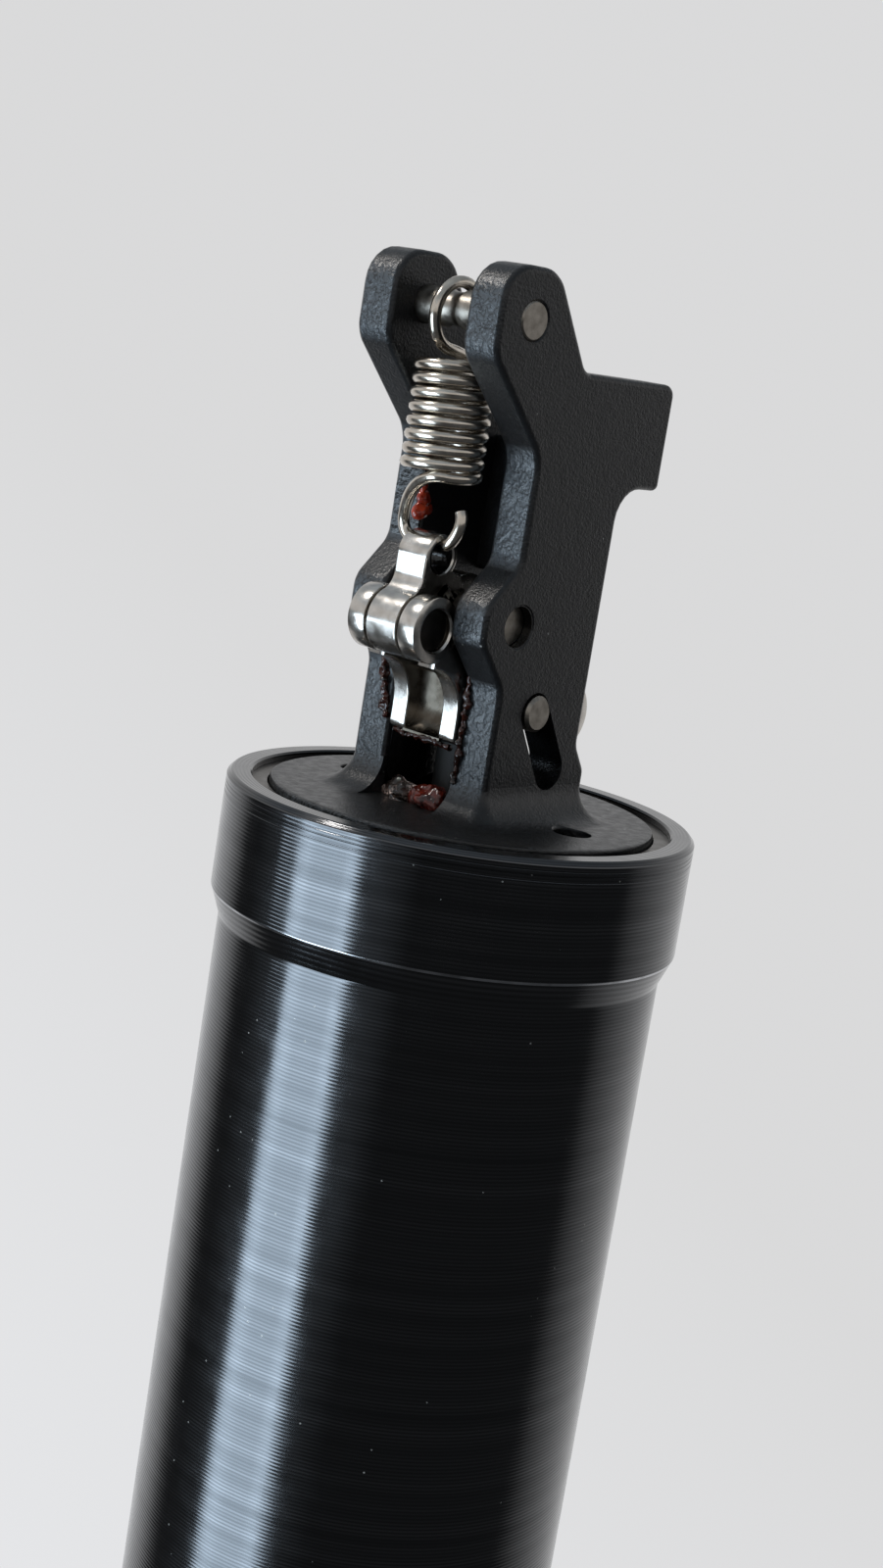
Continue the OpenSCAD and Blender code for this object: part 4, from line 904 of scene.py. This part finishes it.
def forged(node, name, body, skin, passes, finish):
    """A copy of a node with a fine skin, smoothed until its edges and corners are round."""
    rough = as_object("rough_" + name, merged(node))
    wrap = rough.modifiers.new("skin", "REMESH")
    wrap.mode, wrap.voxel_size = "VOXEL", skin
    bm = finished(rough)
    for i in range(passes):
        bmesh.ops.smooth_vert(bm, verts=bm.verts, factor=0.5, use_axis_x=True, use_axis_y=True, use_axis_z=True)
    return piece(name, bm, at_post, body, finish, [node], ALL_SMOOTH)


SKIN, PASSES = 0.5, 5
forged("seat_head", "forged_head", "post", SKIN, PASSES, "anodised_matt")

# %% [markdown]
# The saddle clamp is machined, and its edges are broken by hand. Its engineered shapes are right, so each is taken
# over as a copy: loose triangles are merged, flat faces are joined again, and every sharp edge is bevelled by a few
# tenths of a millimetre.

# %% Saddle clamp
def softened(node, name, body, width, finish, sharp=25):
    """A copy of a node with its faces joined and its sharp edges bevelled."""
    bm = merged(node)
    bmesh.ops.dissolve_limit(bm, angle_limit=math.radians(0.5), verts=bm.verts, edges=bm.edges)
    bmesh.ops.recalc_face_normals(bm, faces=bm.faces)
    edges = [e for e in bm.edges if len(e.link_faces) == 2 and e.calc_face_angle(0) > math.radians(sharp)]
    rounding(bm, edges, width, 3, clamp=True)
    return piece(name, bm, at_post, body, finish, [node])


softened("inner_cheeks", "inner_clamp", "clamp", 0.4, "anodised_matt")
softened("outer_cheeks", "outer_clamp", "clamp", 0.4, "anodised_matt")
softened("clamp_bolt", "socket_bolt", "clamp", 0.3, "dark_steel")
softened("clamp_nut", "flat_nut", "clamp", 0.3, "dark_steel")

# %% [markdown]
# The post stands on nothing here: a pale floor lies a little below its foot and fades outward into nearly the same
# pale tone as the surroundings, so that hardly any horizon shows. The surroundings are a plain studio: pale behind
# the object, dim on the side of the camera so that black gloss stays black, and one large cool window at the left
# that is brightest along its two sides. A small bright patch beside its lower corner is what the steel and the milled
# faces mirror, and a small lamp near the floor gives the rim of the collar its one sharp glint. The pale tone is what
# the camera sees, and what metal mirrors and grease lets through, and the dim side adds little light to matt faces.

# %% Floor, surroundings and light
PALE, FLOOR_Z = (0.70, 0.70, 0.705), -0.33
bm = bmesh.new()
bmesh.ops.create_grid(bm, x_segments=2, y_segments=2, size=4)
floor = as_object("floor", moved(bm, (0, 0, FLOOR_Z)))
ground = bpy.data.materials.new("pale floor")
ground.use_nodes = True
tree = ground.node_tree
plain = tree.nodes["Principled BSDF"]
plain.inputs["Base Color"].default_value = (*PALE, 1)
plain.inputs["Roughness"].default_value = 0.9
plain.inputs["Specular IOR Level"].default_value = 0.1
glow = tree.nodes.new("ShaderNodeEmission")
glow.inputs["Color"].default_value = (*PALE, 1)
coordinate = tree.nodes.new("ShaderNodeTexCoord")
away = length(tree, coordinate.outputs["Object"])
ray = tree.nodes.new("ShaderNodeLightPath").outputs
mirrored = reckon(tree, "MAXIMUM", ray["Is Glossy Ray"], ray["Is Transmission Ray"])
mirrored = reckon(tree, "MINIMUM", mirrored, spread(tree, away, 0.36, 0.47, 0, 1))
direct = reckon(tree, "MINIMUM", ray["Is Camera Ray"], spread(tree, away, 0.34, 0.60, 0.82, 1))
fade = reckon(tree, "MAXIMUM", mirrored, direct)
mix = tree.nodes.new("ShaderNodeMixShader")
tree.links.new(fade, mix.inputs[0])
tree.links.new(plain.outputs[0], mix.inputs[1])
tree.links.new(glow.outputs[0], mix.inputs[2])
tree.links.new(mix.outputs[0], tree.nodes["Material Output"].inputs["Surface"])
floor.data.materials.append(ground)

world = bpy.data.worlds.new("studio")
bpy.context.scene.world = world
world.use_nodes = True
tree = world.node_tree
back = tree.nodes["Background"]
coordinate = tree.nodes.new("ShaderNodeTexCoord")


def facing(way, low, high):
    """How far a direction of the surroundings turns towards a way, from 0 at low to 1 at high."""
    return spread(tree, towards(tree, coordinate.outputs["Generated"], way), low, high, 0, 1)


behind = reckon(tree, "MINIMUM", facing((-0.996, 0.087, 0), -0.12, 0.22), facing((-0.707, 0.707, 0), -0.05, 0.65))
behind = reckon(tree, "MINIMUM", behind, facing((0, 0, -1), -0.72, -0.50))
ray = tree.nodes.new("ShaderNodeLightPath").outputs
shown = reckon(tree, "MAXIMUM", ray["Is Camera Ray"], ray["Is Transmission Ray"])
shown = reckon(tree, "MAXIMUM", shown, reckon(tree, "MINIMUM", ray["Is Glossy Ray"], behind))
show = tint(tree, back.inputs["Color"], shown, (0, 0, 0), PALE)
tint(tree, show.inputs[7], facing((0.58, 0.43, 0.80), 0.0, 0.36), PALE, (0.79, 0.797, 0.815))
room = tint(tree, show.inputs[6], behind, (0, 0, 0), (0.70, 0.70, 0.70))
tint(tree, room.inputs[6], facing((0.94, 0.342, 0), 0.68, 0.92), (0.075, 0.078, 0.082), (0.31, 0.34, 0.37))
back.inputs["Strength"].default_value = 1.0

target = Vector((0, 0, -0.195))


def soft_lamp(name, direction, distance, width, height, radiance, colour):
    """A rectangular lamp that faces the foot, with its brightness given as the radiance of its face."""
    data = bpy.data.lights.new(name, "AREA")
    data.shape, data.size, data.size_y = "RECTANGLE", width, height
    data.energy = radiance * math.pi * width * height
    data.color = colour
    ob = bpy.data.objects.new(name, data)
    way = Vector(direction).normalized()
    ob.matrix_world = Matrix.Translation(target + way * distance) @ way.to_track_quat("Z", "Y").to_matrix().to_4x4()
    ob.visible_camera = False
    bpy.context.scene.collection.objects.link(ob)
    return ob


COOL, WARM = (0.70, 0.855, 1.0), (1.0, 0.95, 0.90)
BELOW = (0.4437, 0.4982, -0.7454)
soft_lamp("window", (0.8519, 0.3298, 0.4067), 1.0, 0.60, 0.72, 6.2, COOL)
soft_lamp("sill", (0.7366, 0.6632, 0.1323), 1.0, 0.21, 0.11, 4.6, COOL)
soft_lamp("glint", BELOW, 0.136, 0.014, 0.02, 75, WARM)
soft_lamp("glow", BELOW, 0.139, 0.075, 0.025, 1.3, WARM)
for azimuth in (7.0, 33.2):
    a = math.radians(azimuth)
    soft_lamp("jamb", (0.9135 * math.cos(a), 0.9135 * math.sin(a), 0.4067), 0.97, 0.11, 0.70, 1.8, COOL)
print("floor, surroundings and window set")

# %% [markdown]
# The picture was taken from close by with a phone, looking a little down on the foot as the post leaned. The camera
# takes that place and turn in the post's frame.

# %% Camera
camera = bpy.data.cameras.new("camera")
camera.sensor_width = 36
camera.lens = 55.64
camera.clip_start = 0.005
viewer = bpy.data.objects.new("camera", camera)
forward = Vector((-0.7526, 0.6315, 0.18655)).normalized()
across = Vector((-0.6574, -0.7369, -0.1576))
across = (across - forward * across.dot(forward)).normalized()
up = across.cross(forward)
place = Matrix.Translation(Vector((123.04, -101.26, -203.09)) * MM)
viewer.matrix_world = place @ Matrix((across, up, -forward)).transposed().to_4x4()
bpy.context.scene.collection.objects.link(viewer)
bpy.context.scene.camera = viewer
bpy.context.scene.view_settings.view_transform = "Standard"
print("camera at", [round(v, 4) for v in viewer.location])
